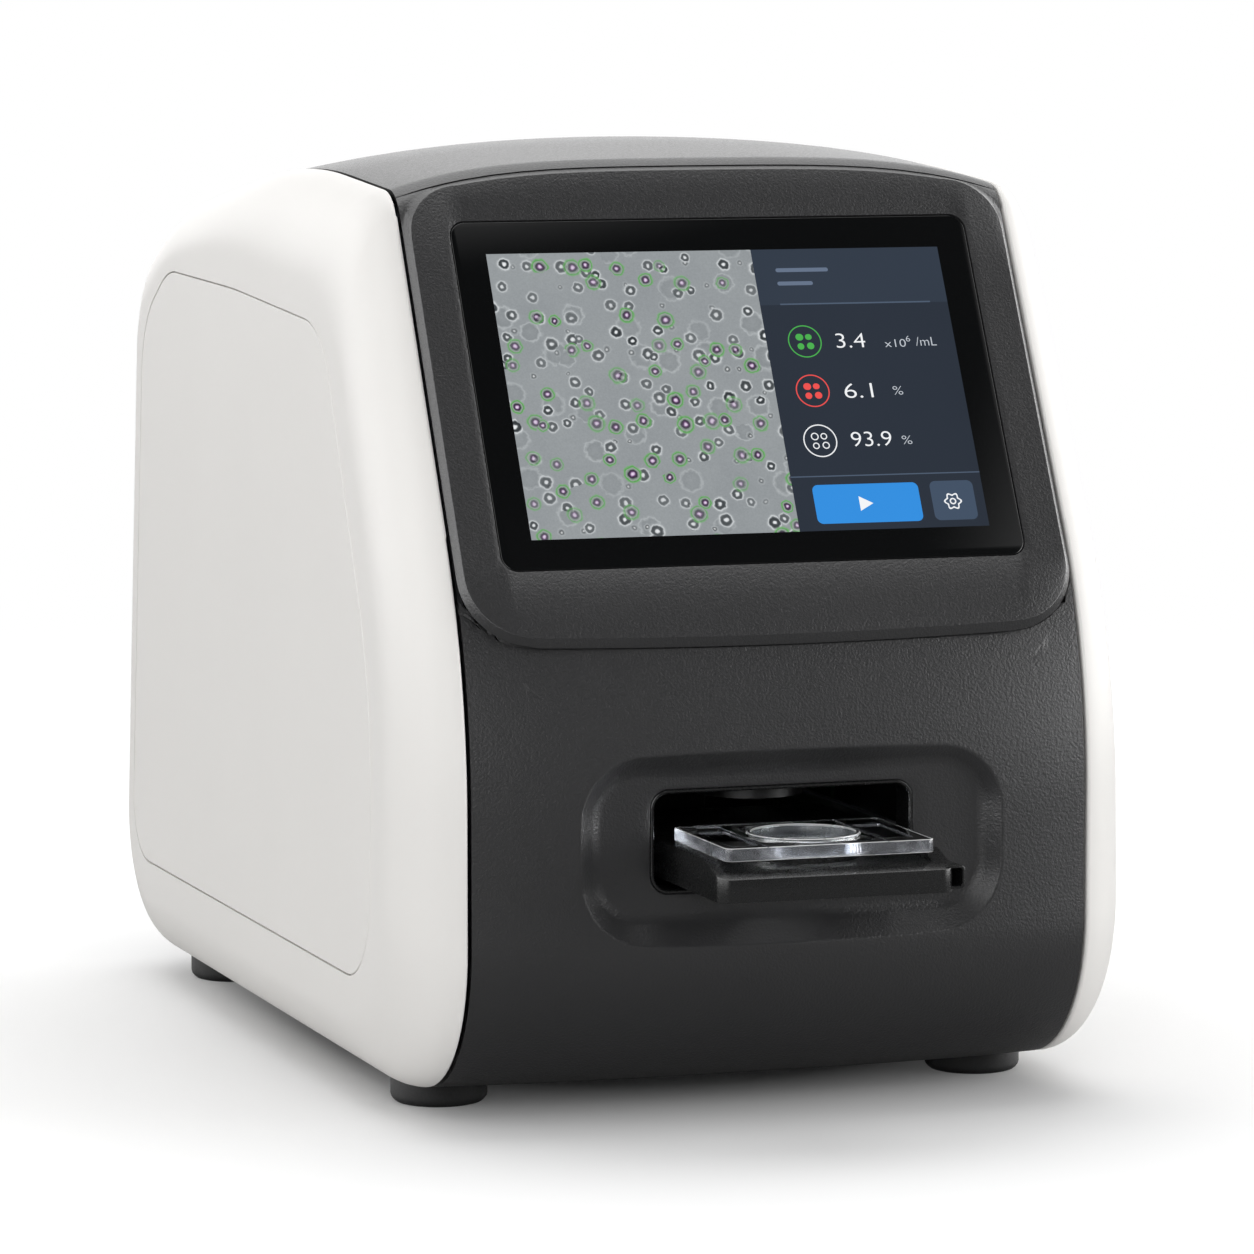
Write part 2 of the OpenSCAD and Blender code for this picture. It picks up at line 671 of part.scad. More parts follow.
module pinion_profile() {
    polygon(flatten([for (t = [0 : pinion_teeth - 1])
        let (a = 90 + 360 * t / pinion_teeth)
        concat([root_r * [cos(a - flank_angle(base_r) - 1), sin(a - flank_angle(base_r) - 1)]],
            [for (r = flank_rs) r * [cos(a - flank_angle(r)), sin(a - flank_angle(r))]],
            [for (r = reverse(flank_rs)) r * [cos(a + flank_angle(r)), sin(a + flank_angle(r))]],
            [root_r * [cos(a + flank_angle(base_r) + 1), sin(a + flank_angle(base_r) + 1)]])]));
}
shaft_r = 2.5;
module drive_pinion() {
    color("#C9C3B4") translate([0, pinion_y, pinion_z]) slab(rack_x, rack_x + rack_w) difference() {
        pinion_profile();
        circle(shaft_r, $fn = 48);
    }
}
motor_w = 28;
motor_l = 30;
cheek_x = 56;
module motor_shaft() {
    color("silver") translate([rack_x - 1, pinion_y, pinion_z]) rotate([0, 90, 0])
        cylinder(h = cheek_x + 1.9 - rack_x + 1, r = shaft_r - 0.02, $fn = 48);
}
module tray_motor() {
    color("#3A3C40") difference() {
        translate([cheek_x, pinion_y - motor_w / 2, pinion_z - motor_w / 2])
            cube([motor_l, motor_w, motor_w]);
        translate([cheek_x - 1, pinion_y, pinion_z]) rotate([0, 90, 0])
            cylinder(h = 3, r = shaft_r + 0.03, $fn = 48);
    }
}
module tray_sensor() {
    color("#222326") difference() {
        translate([-rail_x, -60, 74]) cube([9, 12, 10]);
        translate([-rail_x + 3, -61, 79]) cube([3, 14, 6]);
    }
}
stage_y0 = -157;
stage_step_y = fascia_edge_y + 2;
stage_y1 = -8;
sheet = 2;
// The floor steps up in front, over the rolled end of the fascia
stage_z = base_top + sheet;
deck_z = 26;
cheek_h = 86;
module stage_bracket() {
    color(steel_grey) {
        difference() {
            both_sides() slab(rail_x, cheek_x) polygon([
                [stage_y1, base_top], [stage_y1, base_top + cheek_h], [stage_y0, base_top + cheek_h],
                [stage_y0, deck_z - sheet], [stage_step_y, deck_z - sheet], [stage_step_y, base_top]]);
            translate([rail_x - 5, pinion_y, pinion_z]) rotate([0, 90, 0]) cylinder(h = 12, r = 4.5, $fn = 32);
        }
        slab(-cheek_x, cheek_x) polygon([
            [stage_y1, base_top], [stage_y1, stage_z], [stage_step_y + sheet, stage_z],
            [stage_step_y + sheet, deck_z], [stage_y0, deck_z], [stage_y0, deck_z - sheet],
            [stage_step_y, deck_z - sheet], [stage_step_y, base_top]]);
    }
}

// ---- optics ----
optic_y = slide_mid_y + tray_travel;
post_x = 30;
post_r = 3;
post_top = 78;
carriage_z = 44;
camera_z = 29;
carriage_t = 10;
lens_r = 12;
lens_top = 82;
rod_x = -45;
rod_r = 2;
rod_z = 32;
actuator_top = 39;
module focus_posts() {
    color("silver") for (x = [-post_x, post_x]) translate([x, optic_y, deck_z])
        cylinder(h = post_top - deck_z, r = post_r, $fn = 36);
}
module focus_carriage() {
    color("#4A4C50") difference() {
        translate([-50, optic_y - 14, carriage_z]) cube([90, 36, carriage_t]);
        for (x = [-post_x, post_x]) translate([x, optic_y, carriage_z - 1])
            cylinder(h = carriage_t + 2, r = post_r + 0.05, $fn = 36);
        translate([0, optic_y, carriage_z - 1]) cylinder(h = carriage_t + 2, r = lens_r, $fn = 48);
    }
}
module camera_body() {
    color("#2C2E31") translate([-20, optic_y - 14, camera_z]) cube([40, 34, carriage_z - camera_z]);
}
module objective_lens() {
    color("#101113") translate([0, optic_y, 0]) difference() {
        union() {
            translate([0, 0, carriage_z]) cylinder(h = 20, r = lens_r, $fn = 48);
            translate([0, 0, carriage_z + 19]) cylinder(h = lens_top - carriage_z - 19, r = 9, $fn = 48);
        }
        translate([0, 0, lens_top - 1.5]) cylinder(h = 3, r = 6.5, $fn = 40);
    }
}
module focus_actuator() {
    color("#3A3C40") difference() {
        translate([rod_x - 7, optic_y - 7, deck_z]) cube([14, 14, actuator_top - deck_z]);
        translate([rod_x, optic_y, rod_z - 3]) cylinder(h = 20, r = rod_r + 0.05, $fn = 36);
    }
}
module actuator_rod() {
    color("silver") translate([rod_x, optic_y, rod_z]) cylinder(h = carriage_z - rod_z, r = rod_r, $fn = 36);
}
column_y0 = -34;
arm_z = 128;
module optics_column() {
    color("#8B8E92") {
        translate([-22, column_y0, stage_z]) cube([44, 20, arm_z + 16 - stage_z]);
        translate([-15, optic_y - 20, arm_z]) cube([30, column_y0 - optic_y + 21, 16]);
    }
}
module led_housing() {
    color("#2C2E31") translate([0, optic_y, 0]) difference() {
        translate([0, 0, 112]) cylinder(h = arm_z - 112, r = 19, $fn = 64);
        translate([0, 0, 111]) cylinder(h = 5, r = 11, $fn = 48);
    }
}
module condenser_lens() {
    color("#CFE3EE", 0.6) translate([0, optic_y, 0]) union() {
        translate([0, 0, 111]) cylinder(h = 5, r = 10.98, $fn = 48);
        translate([0, 0, 109.6]) cylinder(h = 1.4, r1 = 6, r2 = 9, $fn = 48);
    }
}

// ---- electronics ----
board_x = 101;
board_t = 1.6;
module board_at(y0, y1, z0, z1) {
    translate([-board_x, y0, z0]) cube([board_t, y1 - y0, z1 - z0]);
}
module main_board() {
    color(board_green) {
        board_at(20, 180, 70, 200);
        for (p = [[40, 90, 20, 20], [90, 120, 36, 36], [140, 90, 16, 24], [50, 160, 30, 12]])
            translate([-board_x + board_t - eps, p[0], p[1]]) cube([2.4, p[2], p[3]]);
    }
}
module heat_sink() {
    color("#2A2B2D") {
        translate([-board_x + board_t + 2.4, 92, 122]) cube([3, 32, 32]);
        for (i = [0 : 6]) translate([-board_x + board_t + 5, 92 + i * 5, 122]) cube([9, 2, 32]);
    }
}
module power_board() {
    color(board_green) mirror([1, 0, 0]) {
        board_at(40, 180, 70, 170);
        translate([-board_x + board_t - eps, 60, 90]) cube([20, 30, 30]);
        for (y = [110, 130, 150]) translate([-board_x + board_t - eps, y, 110]) rotate([0, 90, 0])
            cylinder(h = 22, r = 7, $fn = 32);
    }
}
module board_standoffs() {
    color("silver") {
        for (y = [26, 174], z = [76, 194]) translate([-frame_x + frame_t, y, z]) rotate([0, 90, 0])
            cylinder(h = frame_x - frame_t - board_x, r = 3, $fn = 24);
        mirror([1, 0, 0]) for (y = [46, 174], z = [76, 164]) translate([-frame_x + frame_t, y, z])
            rotate([0, 90, 0]) cylinder(h = frame_x - frame_t - board_x, r = 3, $fn = 24);
    }
}

// ---- rear panel, fan and connectors ----
panel_sheet = 1.5;
panel_in_y = panel_out_y - panel_sheet;
fan_z = 130;
fan_w = 60;
fan_t = 20;
fan_hole = 25;
jack_x = -62;
jack_z = 66;
usb_x = -18;
usb_zs = [58, 74];
switch_x = 62;
switch_z = 68;
module along_y(y0, y1, x, z) {
    translate([x, y1, z]) rotate([90, 0, 0]) linear_extrude(y1 - y0) children();
}
module connector_panel() {
    color("#8B8E92") difference() {
        along_y(panel_in_y, panel_out_y, 0, panel_mid_z) rounded_rect(panel_open_w + 8, panel_open_h + 8, 8);
        along_y(panel_in_y - 1, panel_out_y + 1, 0, fan_z) intersection() {
            circle(26.5, $fn = 72);
            for (i = [-5 : 5]) translate([0, i * 5]) square([60, 3], center = true);
        }
        for (x = [-fan_hole, fan_hole], z = [-fan_hole, fan_hole])
            along_y(panel_in_y - 1, panel_out_y + 1, x, fan_z + z) circle(1.6, $fn = 24);
        along_y(panel_in_y - 1, panel_out_y + 1, jack_x, jack_z) circle(5.6, $fn = 36);
        for (z = usb_zs) along_y(panel_in_y - 1, panel_out_y + 1, usb_x, z) square([15, 7.6], center = true);
        along_y(panel_in_y - 1, panel_out_y + 1, switch_x, switch_z) rounded_rect(14.4, 21.4, 1);
    }
}
module fan_frame() {
    color("#1B1C1E") difference() {
        union() {
            difference() {
                along_y(panel_in_y - fan_t, panel_in_y, 0, fan_z) rounded_rect(fan_w, fan_w, 4);
                along_y(panel_in_y - fan_t - 1, panel_in_y + 1, 0, fan_z) circle(28, $fn = 72);
            }
            along_y(panel_in_y - fan_t, panel_in_y - fan_t + 3, 0, fan_z) {
                circle(12, $fn = 48);
                for (a = [45, 135]) rotate(a) square([60, 3], center = true);
            }
        }
        along_y(panel_in_y - fan_t - 1, panel_in_y - fan_t + 4, 0, fan_z) circle(1.55, $fn = 36);
        for (x = [-fan_hole, fan_hole], z = [-fan_hole, fan_hole])
            along_y(panel_in_y - fan_t - 1, panel_in_y + 1, x, fan_z + z) circle(1.6, $fn = 24);
    }
}
blades = 7;
module fan_rotor() {
    color("#1B1C1E") {
        along_y(panel_in_y - fan_t + 4, panel_in_y - 3, 0, fan_z) circle(12, $fn = 48);
        along_y(panel_in_y - fan_t + 0.5, panel_in_y - fan_t + 5, 0, fan_z) circle(1.5, $fn = 36);
        intersection() {
            along_y(panel_in_y - fan_t + 5, panel_in_y - 4, 0, fan_z) difference() {
                circle(27, $fn = 72);
                circle(11, $fn = 48);
            }
            for (i = [0 : blades - 1])
                translate([0, panel_in_y - fan_t / 2, fan_z]) rotate([0, i * 360 / blades, 0])
                    translate([19, 0, 0]) rotate([40, 0, 0]) cube([20, 1.6, 20], center = true);
        }
    }
}
module panel_screws() {
    color("silver") for (x = [-fan_hole, fan_hole], z = [-fan_hole, fan_hole]) {
        along_y(panel_out_y, panel_out_y + 1.8, x, fan_z + z) circle(2.8, $fn = 32);
        along_y(panel_in_y - fan_t - 2, panel_out_y + 0.5, x, fan_z + z) circle(1.5, $fn = 24);
    }
}
module dc_jack() {
    color("#1B1C1E") difference() {
        union() {
            along_y(panel_in_y - 14, panel_in_y, jack_x, jack_z) square([14, 14], center = true);
            along_y(panel_in_y - 1, panel_out_y + 1.4, jack_x, jack_z) circle(5.5, $fn = 40);
        }
        along_y(panel_in_y - 9, panel_out_y + 3, jack_x, jack_z) difference() {
            circle(2.9, $fn = 40);
            circle(1, $fn = 24);
        }
    }
}
module usb_ports() {
    color("silver") {
        for (z = usb_zs) {
            difference() {
                along_y(panel_in_y - 12, panel_out_y + 0.8, usb_x, z) square([14.4, 7], center = true);
                along_y(panel_in_y - 10, panel_out_y + 2, usb_x, z) square([12.8, 5.4], center = true);
            }
            along_y(panel_in_y - 11, panel_out_y - 1, usb_x, z + 0.9) square([11, 1.8], center = true);
        }
        translate([usb_x - 9, panel_in_y - 14, usb_zs[0] - 5]) cube([18, 3, usb_zs[1] - usb_zs[0] + 10]);
    }
}
rocker_w = 9;
rocker_tilt = 7;
pivot_y = panel_out_y - 2;
pivot_r = 1.2;
module switch_housing() {
    color("#151617") difference() {
        union() {
            along_y(panel_out_y, panel_out_y + 2, switch_x, switch_z) rounded_rect(18, 25, 1.5);
            along_y(panel_in_y - 16, panel_out_y + 1, switch_x, switch_z) square([14, 21], center = true);
        }
        along_y(panel_in_y - 8, panel_out_y + 3, switch_x, switch_z) square([rocker_w + 0.6, 17], center = true);
        translate([switch_x - rocker_w / 2 - 1.5, pivot_y, switch_z]) rotate([0, 90, 0])
            cylinder(h = rocker_w + 3, r = pivot_r + 0.05, $fn = 32);
    }
}
module power_rocker() {
    color("#2A2B2D") {
        translate([0, pivot_y, switch_z]) rotate([rocker_tilt, 0, 0])
            slab(switch_x - rocker_w / 2, switch_x + rocker_w / 2)
                polygon([[-4, -5], [1.2, -7.4], [4.4, -7.4], [3, 0], [4.4, 7.4], [1.2, 7.4], [-4, 5]]);
        translate([switch_x - rocker_w / 2 - 1.2, pivot_y, switch_z]) rotate([0, 90, 0])
            cylinder(h = rocker_w + 2.4, r = pivot_r, $fn = 32);
    }
}

base_plate();
left_frame();
right_frame();
hood_cover();
lower_fascia();
rear_cover();
left_cover();
right_cover();
left_access_panel();
right_access_panel();
connector_panel();
foot_front_left();
foot_front_right();
foot_rear_left();
foot_rear_right();
foot_screws();
touch_glass();
glass_gasket();
lcd_module();
lcd_screen();
display_bracket();
slot_liner();
slide_tray();
sample_slide();
tray_rack();
drive_pinion();
motor_shaft();
tray_motor();
tray_sensor();
stage_bracket();
left_rail();
right_rail();
focus_posts();
focus_carriage();
camera_body();
objective_lens();
focus_actuator();
actuator_rod();
optics_column();
led_housing();
condenser_lens();
main_board();
power_board();
board_standoffs();
heat_sink();
fan_frame();
fan_rotor();
dc_jack();
usb_ports();
switch_housing();
power_rocker();
panel_screws();
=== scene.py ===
import json
import math

import bmesh
import bpy
from mathutils import Matrix, Vector


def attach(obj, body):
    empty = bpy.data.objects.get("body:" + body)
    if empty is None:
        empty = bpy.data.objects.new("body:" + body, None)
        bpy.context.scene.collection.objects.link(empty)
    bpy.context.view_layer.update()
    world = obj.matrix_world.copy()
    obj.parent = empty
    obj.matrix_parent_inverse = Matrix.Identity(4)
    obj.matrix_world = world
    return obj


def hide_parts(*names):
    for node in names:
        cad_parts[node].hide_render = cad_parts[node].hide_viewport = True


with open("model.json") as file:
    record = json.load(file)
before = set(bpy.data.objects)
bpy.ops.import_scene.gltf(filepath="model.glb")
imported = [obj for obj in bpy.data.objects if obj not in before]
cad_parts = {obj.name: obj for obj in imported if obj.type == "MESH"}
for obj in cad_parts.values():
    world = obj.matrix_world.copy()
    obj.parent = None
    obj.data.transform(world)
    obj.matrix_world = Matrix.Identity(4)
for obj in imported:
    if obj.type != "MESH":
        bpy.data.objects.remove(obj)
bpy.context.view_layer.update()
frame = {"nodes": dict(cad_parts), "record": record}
nodes = frame["nodes"]

# ---------------------------------------------------------------------------
# Side covers
# Two injection-moulded ABS shells, painted satin white, with a rounded rim and a flat side. They clip
# to the sheet-steel side frames and leave a narrow dark groove against the centre section.
# ---------------------------------------------------------------------------
MM = 0.001
SEAM_X, SEAM_GAP = 114.0, 1.2
SIDE_X, SIDE_DRAFT = 137.0, 0.015
FRONT_Y, REAR_Y, REAR_DRAFT, BASE_Z = -179.0, 234.5, 0.05, 10.0
WALL = 3.2
LEAN = math.radians(28.5)  # of the display face, from upright
FACE_MID = Vector((0.0, -132.2, 253.2))
CHAMFER = 2.7
# Corners of the side view that the housing's pieces share: brow, roof and the knee of the back
BROW_Z = 322.8
ROOF_FRONT_Y, ROOF_FRONT_Z = 14, 329.8
ROOF_REAR_Y, ROOF_REAR_Z = 168, 307.8
KNEE_Z = 281
ROOF_R, ROOF_REAR_R, KNEE_R, REAR_FOOT_R = 450, 215, 31, 52
FRONT_FOOT_R, FRONT_BEND_R = 56, 200


def lean_y(z, behind):
    """Where a plane behind the display face stands at height z."""
    return FACE_MID.y + (z - FACE_MID.z) * math.tan(LEAN) + behind / math.cos(LEAN)


def lean_z(y, behind):
    """The height of that plane at y."""
    return FACE_MID.z + (y - FACE_MID.y - behind / math.cos(LEAN)) / math.tan(LEAN)


def rear_line(z):
    return REAR_Y - REAR_DRAFT * (z - BASE_Z)


def fillet(a, b, c, radius, steps, first=0.0):
    """Points of the round that replaces corner b of the path a, b, c, from turn first on."""
    u, v = (a - b).normalized(), (c - b).normalized()
    half = math.acos(max(-1.0, min(1.0, u.dot(v)))) / 2
    centre = b + (u + v).normalized() * (radius / math.sin(half))
    start = b + u * (radius / math.tan(half)) - centre
    ba, cb = b - a, c - b
    side = 1 if ba.x * cb.y - ba.y * cb.x > 0 else -1
    sweep = math.pi - 2 * half
    points = []
    for i in range(steps + 1):
        t = side * (first + (sweep - first) * i / steps)
        points.append(centre + Vector((
            start.x * math.cos(t) - start.y * math.sin(t),
            start.x * math.sin(t) + start.y * math.cos(t))))
    return points


def rounded(corners, radii, steps):
    """A closed path round the corners, each with its own radius."""
    path = []
    for i, corner in enumerate(corners):
        path += fillet(corners[i - 1], corner, corners[(i + 1) % len(corners)], radii[i], steps[i])
    return path


def inset_path(corners, insets):
    """The corners after each side has moved inwards by its own inset."""
    moved = []
    for i, corner in enumerate(corners):
        u = (corners[i - 1] - corner).normalized()
        v = (corners[(i + 1) % len(corners)] - corner).normalized()
        sine = abs(u.x * v.y - u.y * v.x)
        moved.append(corner + (v * insets[i - 1] + u * insets[i]) / sine)
    return moved


SEAM_CORNERS = [Vector(p) for p in (
    (FRONT_Y, BASE_Z),
    (FRONT_Y, lean_z(FRONT_Y, CHAMFER)),
    (lean_y(BROW_Z, CHAMFER), BROW_Z),
    (ROOF_FRONT_Y, ROOF_FRONT_Z),
    (ROOF_REAR_Y, ROOF_REAR_Z),
    (rear_line(KNEE_Z), KNEE_Z),
    (REAR_Y, BASE_Z))]
BROW_R = 16.0
SEAM_RADII = [FRONT_FOOT_R, FRONT_BEND_R, BROW_R, ROOF_R, ROOF_REAR_R, KNEE_R, REAR_FOOT_R]
SEAM_STEPS = [20, 16, 12, 16, 12, 14, 20]


def inset_round(corners, radii, inset):
    """The rounded path, moved inwards by one inset all round."""
    return rounded(inset_path(corners, [inset] * len(corners)),
                   [max(r - inset, 1.5) for r in radii], SEAM_STEPS)


def take(*pieces):
    """Selects the pieces alone and makes the first one active."""
    bpy.ops.object.select_all(action="DESELECT")
    for piece in pieces:
        piece.select_set(True)
    bpy.context.view_layer.objects.active = pieces[0]


def loft(name, rings, closed=True, caps=True):
    """A grid whose rows are moved to the rings, in millimetres; closed rings are sewn up and capped."""
    count = len(rings[0]) + (1 if closed else 0)
    bpy.ops.object.select_all(action="DESELECT")
    bpy.ops.mesh.primitive_grid_add(x_subdivisions=count - 1, y_subdivisions=len(rings) - 1, size=1)
    piece = bpy.context.object
    piece.name = piece.data.name = name
    verts = piece.data.vertices
    for row, ring in enumerate(rings):
        for i in range(count):
            verts[row * count + i].co = Vector(ring[i % len(ring)]) * MM
    bpy.ops.object.mode_set(mode="EDIT")
    bpy.ops.mesh.select_all(action="SELECT")
    bpy.ops.mesh.remove_doubles(threshold=1e-6)
    if closed and caps:
        bpy.ops.mesh.select_all(action="SELECT")
        bpy.ops.mesh.fill_holes(sides=0)
    bpy.ops.mesh.select_all(action="SELECT")
    bpy.ops.mesh.normals_make_consistent(inside=False)
    bpy.ops.object.mode_set(mode="OBJECT")
    return piece


def round_edges(piece, on_edge, width, segments=3, longest=math.inf):
    """Bevels the edges whose two ends pass the test on_edge, by width in millimetres."""
    take(piece)
    bpy.ops.object.mode_set(mode="EDIT")
    bpy.ops.mesh.select_mode(type="EDGE")
    bpy.ops.mesh.select_all(action="DESELECT")
    mesh = bmesh.from_edit_mesh(piece.data)
    for edge in mesh.edges:
        a, b = (v.co / MM for v in edge.verts)
        edge.select_set(on_edge(a) and on_edge(b) and (a - b).length < longest)
    mesh.select_flush_mode()
    bmesh.update_edit_mesh(piece.data)
    bpy.ops.mesh.bevel(offset=width * MM, segments=segments, affect="EDGES", clamp_overlap=True)
    bpy.ops.object.mode_set(mode="OBJECT")


def finish_piece(piece, body, material, replaces=(), angle=30):
    """Smooth shading, material, and the piece's place in the frame."""
    take(piece)
    bpy.ops.object.shade_smooth_by_angle(angle=math.radians(angle))
    piece.data.materials.clear()
    piece.data.materials.append(material)
    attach(piece, body)
    if replaces:
        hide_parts(*replaces)
    return piece


def copied(piece, name):
    """A copy of a piece with its own mesh and no place in the frame yet."""
    copy = piece.copy()
    copy.data = piece.data.copy()
    copy.name = copy.data.name = name
    copy.parent = None
    for key in list(copy.keys()):
        if key.startswith("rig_"):
            del copy[key]
    bpy.context.scene.collection.objects.link(copy)
    return copy


def mirrored(piece, name):
    """A copy of a piece on the other side of the middle."""
    copy = copied(piece, name)
    take(copy)
    bpy.ops.object.mode_set(mode="EDIT")
    bpy.ops.mesh.select_all(action="SELECT")
    bpy.ops.transform.mirror(constraint_axis=(True, False, False), center_override=(0, 0, 0))
    bpy.ops.mesh.normals_make_consistent(inside=False)
    bpy.ops.object.mode_set(mode="OBJECT")
    return copy


def linear(hex_colour):
    """sRGB hex to the linear colour that a shader takes."""
    parts = [int(hex_colour[i:i + 2], 16) / 255 for i in (1, 3, 5)]
    return tuple(c / 12.92 if c <= 0.04045 else ((c + 0.055) / 1.055) ** 2.4 for c in parts) + (1.0,)


def add(tree, kind, settings=None, **sockets):
    """Adds a shader node; in0, in1 ... name sockets by number, others by name."""
    made = tree.nodes.new("ShaderNode" + kind)
    for key, value in (settings or {}).items():
        setattr(made, key, value)
    for key, value in sockets.items():
        by_number = key[:2] == "in" and key[2:].isdigit()
        socket = made.inputs[int(key[2:]) if by_number else key.replace("_", " ")]
        if isinstance(value, bpy.types.NodeSocket):
            tree.links.new(value, socket)
        else:
            socket.default_value = value
    return made


def emptied(owner):
    """The node tree of a material or world, without the nodes that it starts with."""
    owner.use_nodes = True
    owner.node_tree.nodes.clear()
    return owner.node_tree


def new_material(name):
    material = bpy.data.materials.new(name)
    tree = emptied(material)
    shader = add(tree, "BsdfPrincipled")
    add(tree, "OutputMaterial", Surface=shader.outputs[0])
    return material, tree, shader


RGBA = {"data_type": "RGBA"}
NOISE = {"in1": 0.3, "in2": 0.7}  # the range that a noise texture fills


def grained(name, dark, light, roughness, spread, grain_mm, bump, coat=0.0, metallic=0.0,
            mottle_mm=60.0):
    """A surface whose colour drifts between two tones, with a fine grain in its gloss."""
    material, tree, shader = new_material(name)
    place = add(tree, "TexCoord").outputs["Object"]
    mottle = add(tree, "TexNoise", Vector=place, Scale=1000 / mottle_mm, Detail=3.0)
    grain = add(tree, "TexNoise", Vector=place, Scale=1000 / grain_mm, Detail=2.0, Roughness=0.6)
    colour = add(tree, "Mix", RGBA, Factor=mottle.outputs[0], in6=linear(dark), in7=linear(light))
    tree.links.new(colour.outputs[2], shader.inputs["Base Color"])
    gloss = add(tree, "MapRange", Value=grain.outputs[0], **NOISE, in3=roughness - spread,
                in4=roughness + spread)
    tree.links.new(gloss.outputs[0], shader.inputs["Roughness"])
    if bump:
        relief = add(tree, "Bump", Strength=bump, Distance=grain_mm * MM * 0.5, Height=grain.outputs[0])
        tree.links.new(relief.outputs[0], shader.inputs["Normal"])
    shader.inputs["Metallic"].default_value = metallic
    shader.inputs["Coat Weight"].default_value = coat
    return material


# Satin two-part paint on ABS: an even warm white with a soft, slightly broken highlight
WHITE_PAINT = grained("satin_white_paint_on_ABS", "#E8E6E3", "#EBE9E6", 0.44, 0.03, 0.6, 0.05)

SIDE_CORNERS = inset_path(SEAM_CORNERS, [34, 34, 38, 22, 22, 19, 23])
SIDE_RADII = [50, 200, 60, 400, 110, 40, 34]
SIDE_PATH = rounded(SIDE_CORNERS, SIDE_RADII, SEAM_STEPS)
INNER_INSET, SIDE_WALL = 1, 5
INNER_SIDE_PATH = inset_round(SIDE_CORNERS, SIDE_RADII, INNER_INSET)
COVER_START = SEAM_X + SEAM_GAP / 2
COVER_STEPS = 24
RIM_ROUND = 1.4


def side_plane(z):
    return SIDE_X - SIDE_DRAFT * z


def cover_ring(start, end, thin, turn):
    """One outline of the cover's quarter round, from the seam to the flat side."""
    ring = []
    for a, b in zip(start, end):
        p = a.lerp(b, 1 - math.cos(turn))
        ring.append((-(COVER_START + (side_plane(p.y) - thin - COVER_START) * math.sin(turn)), p.x, p.y))
    return ring


# The service panel follows the cover's side view, 48 mm inside its front
PANEL_INSET, PANEL_FOOT_Z, PANEL_BROW_Z = 48, 47, 274.5
PANEL_CORNERS = [Vector(p) for p in (
    (FRONT_Y + PANEL_INSET, PANEL_FOOT_Z),
    (FRONT_Y + PANEL_INSET, lean_z(FRONT_Y + PANEL_INSET, CHAMFER + PANEL_INSET)),
    (lean_y(PANEL_BROW_Z, CHAMFER + PANEL_INSET), PANEL_BROW_Z),
    (60, 281.5),
    (158, 283.5),
    (197.5, 261),
    (208.5, PANEL_FOOT_Z))]
PANEL_RADII = [29, 150, 41, 600, 45, 38, 25]
PANEL_DEPTH, PANEL_GAP, PANEL_EDGE = 2.0, 0.6, 0.25


def panel_ring(inset, depth):
    path = inset_round(PANEL_CORNERS, PANEL_RADII, inset)
    return [(-(side_plane(p.y) - depth), p.x, p.y) for p in path]


seam_path = inset_round(SEAM_CORNERS, SEAM_RADII, 0)
turns = [math.pi / 2 * i / COVER_STEPS for i in range(COVER_STEPS + 1)]
cover = loft("left_side_cover",
             [cover_ring(inset_round(SEAM_CORNERS, SEAM_RADII, WALL), INNER_SIDE_PATH, SIDE_WALL, t)
              for t in reversed(turns[::4])]
             + [cover_ring(seam_path, SIDE_PATH, 0, t) for t in turns]
             + [panel_ring(0, 0), panel_ring(0, PANEL_DEPTH)])


def on_cover_rim(v):
    return v.x > -COVER_START - 0.01 and min((Vector((v.y, v.z)) - p).length for p in seam_path) < 0.05


def finish_pair(piece, name, node):
    """Finishes a piece of the left side and its mirror image on the right."""
    finish_piece(piece, "housing", WHITE_PAINT, ["left_" + node])
    finish_piece(mirrored(piece, "right_" + name), "housing", WHITE_PAINT,
                 ["right_" + node])


round_edges(cover, on_cover_rim, RIM_ROUND, 4, longest=60)
finish_pair(cover, "side_cover", "cover")
panel = loft("left_service_panel", [panel_ring(PANEL_GAP, PANEL_DEPTH), panel_ring(PANEL_GAP, PANEL_EDGE),
                                    panel_ring(PANEL_GAP + PANEL_EDGE, 0)])
finish_pair(panel, "service_panel", "access_panel")

# ---------------------------------------------------------------------------
# Display hood
# One ABS moulding: a flat bezel with round corners stands proud of it, framed by a chamfer, and the
# shell rolls over the brow and down the back. It clips to the side frames above the front fascia.
# ---------------------------------------------------------------------------
# Spark-eroded charcoal ABS: dull and near black, with a grain that turns pale at grazing angles
DARK_ABS = grained("spark_eroded_charcoal_ABS", "#272728", "#2C2C2D", 0.35, 0.05, 0.9, 0.38)
CENTRE_X = SEAM_X - SEAM_GAP / 2
BEZEL_X = SEAM_X - CHAMFER
FACE_R, FACE_BOTTOM, FACE_BOW = 26.0, -94.0, 1.8
CORNER_X = SEAM_X - FACE_R
CORNER_Y = FACE_BOTTOM + FACE_R
HOOD_REAR_Z = 215.0
FACE_CROWN, TOP_CROWN, BROW_CROWN = 1.9, 11.0, 9.7
KNEE_CROWN = 0.7  # share of the roof's crown that is left at the knee
BROW_TURN = math.radians(28)
BEZEL_R, BEZEL_CHAMFER = 20.0, 2.4
CREASE_W, CREASE_DEPTH, CREASE_FADE = 0.7, 0.9, 16


def from_face(x, y, z):
    return (x, FACE_MID.y + y * math.sin(LEAN) - z * math.cos(LEAN),
            FACE_MID.z + y * math.cos(LEAN) + z * math.sin(LEAN))


def on_face(v):
    """Where a point is on the display face: across, up, and out of it."""
    d = Vector(v) - FACE_MID
    return d.x, d.y * math.sin(LEAN) + d.z * math.cos(LEAN), -d.y * math.cos(LEAN) + d.z * math.sin(LEAN)


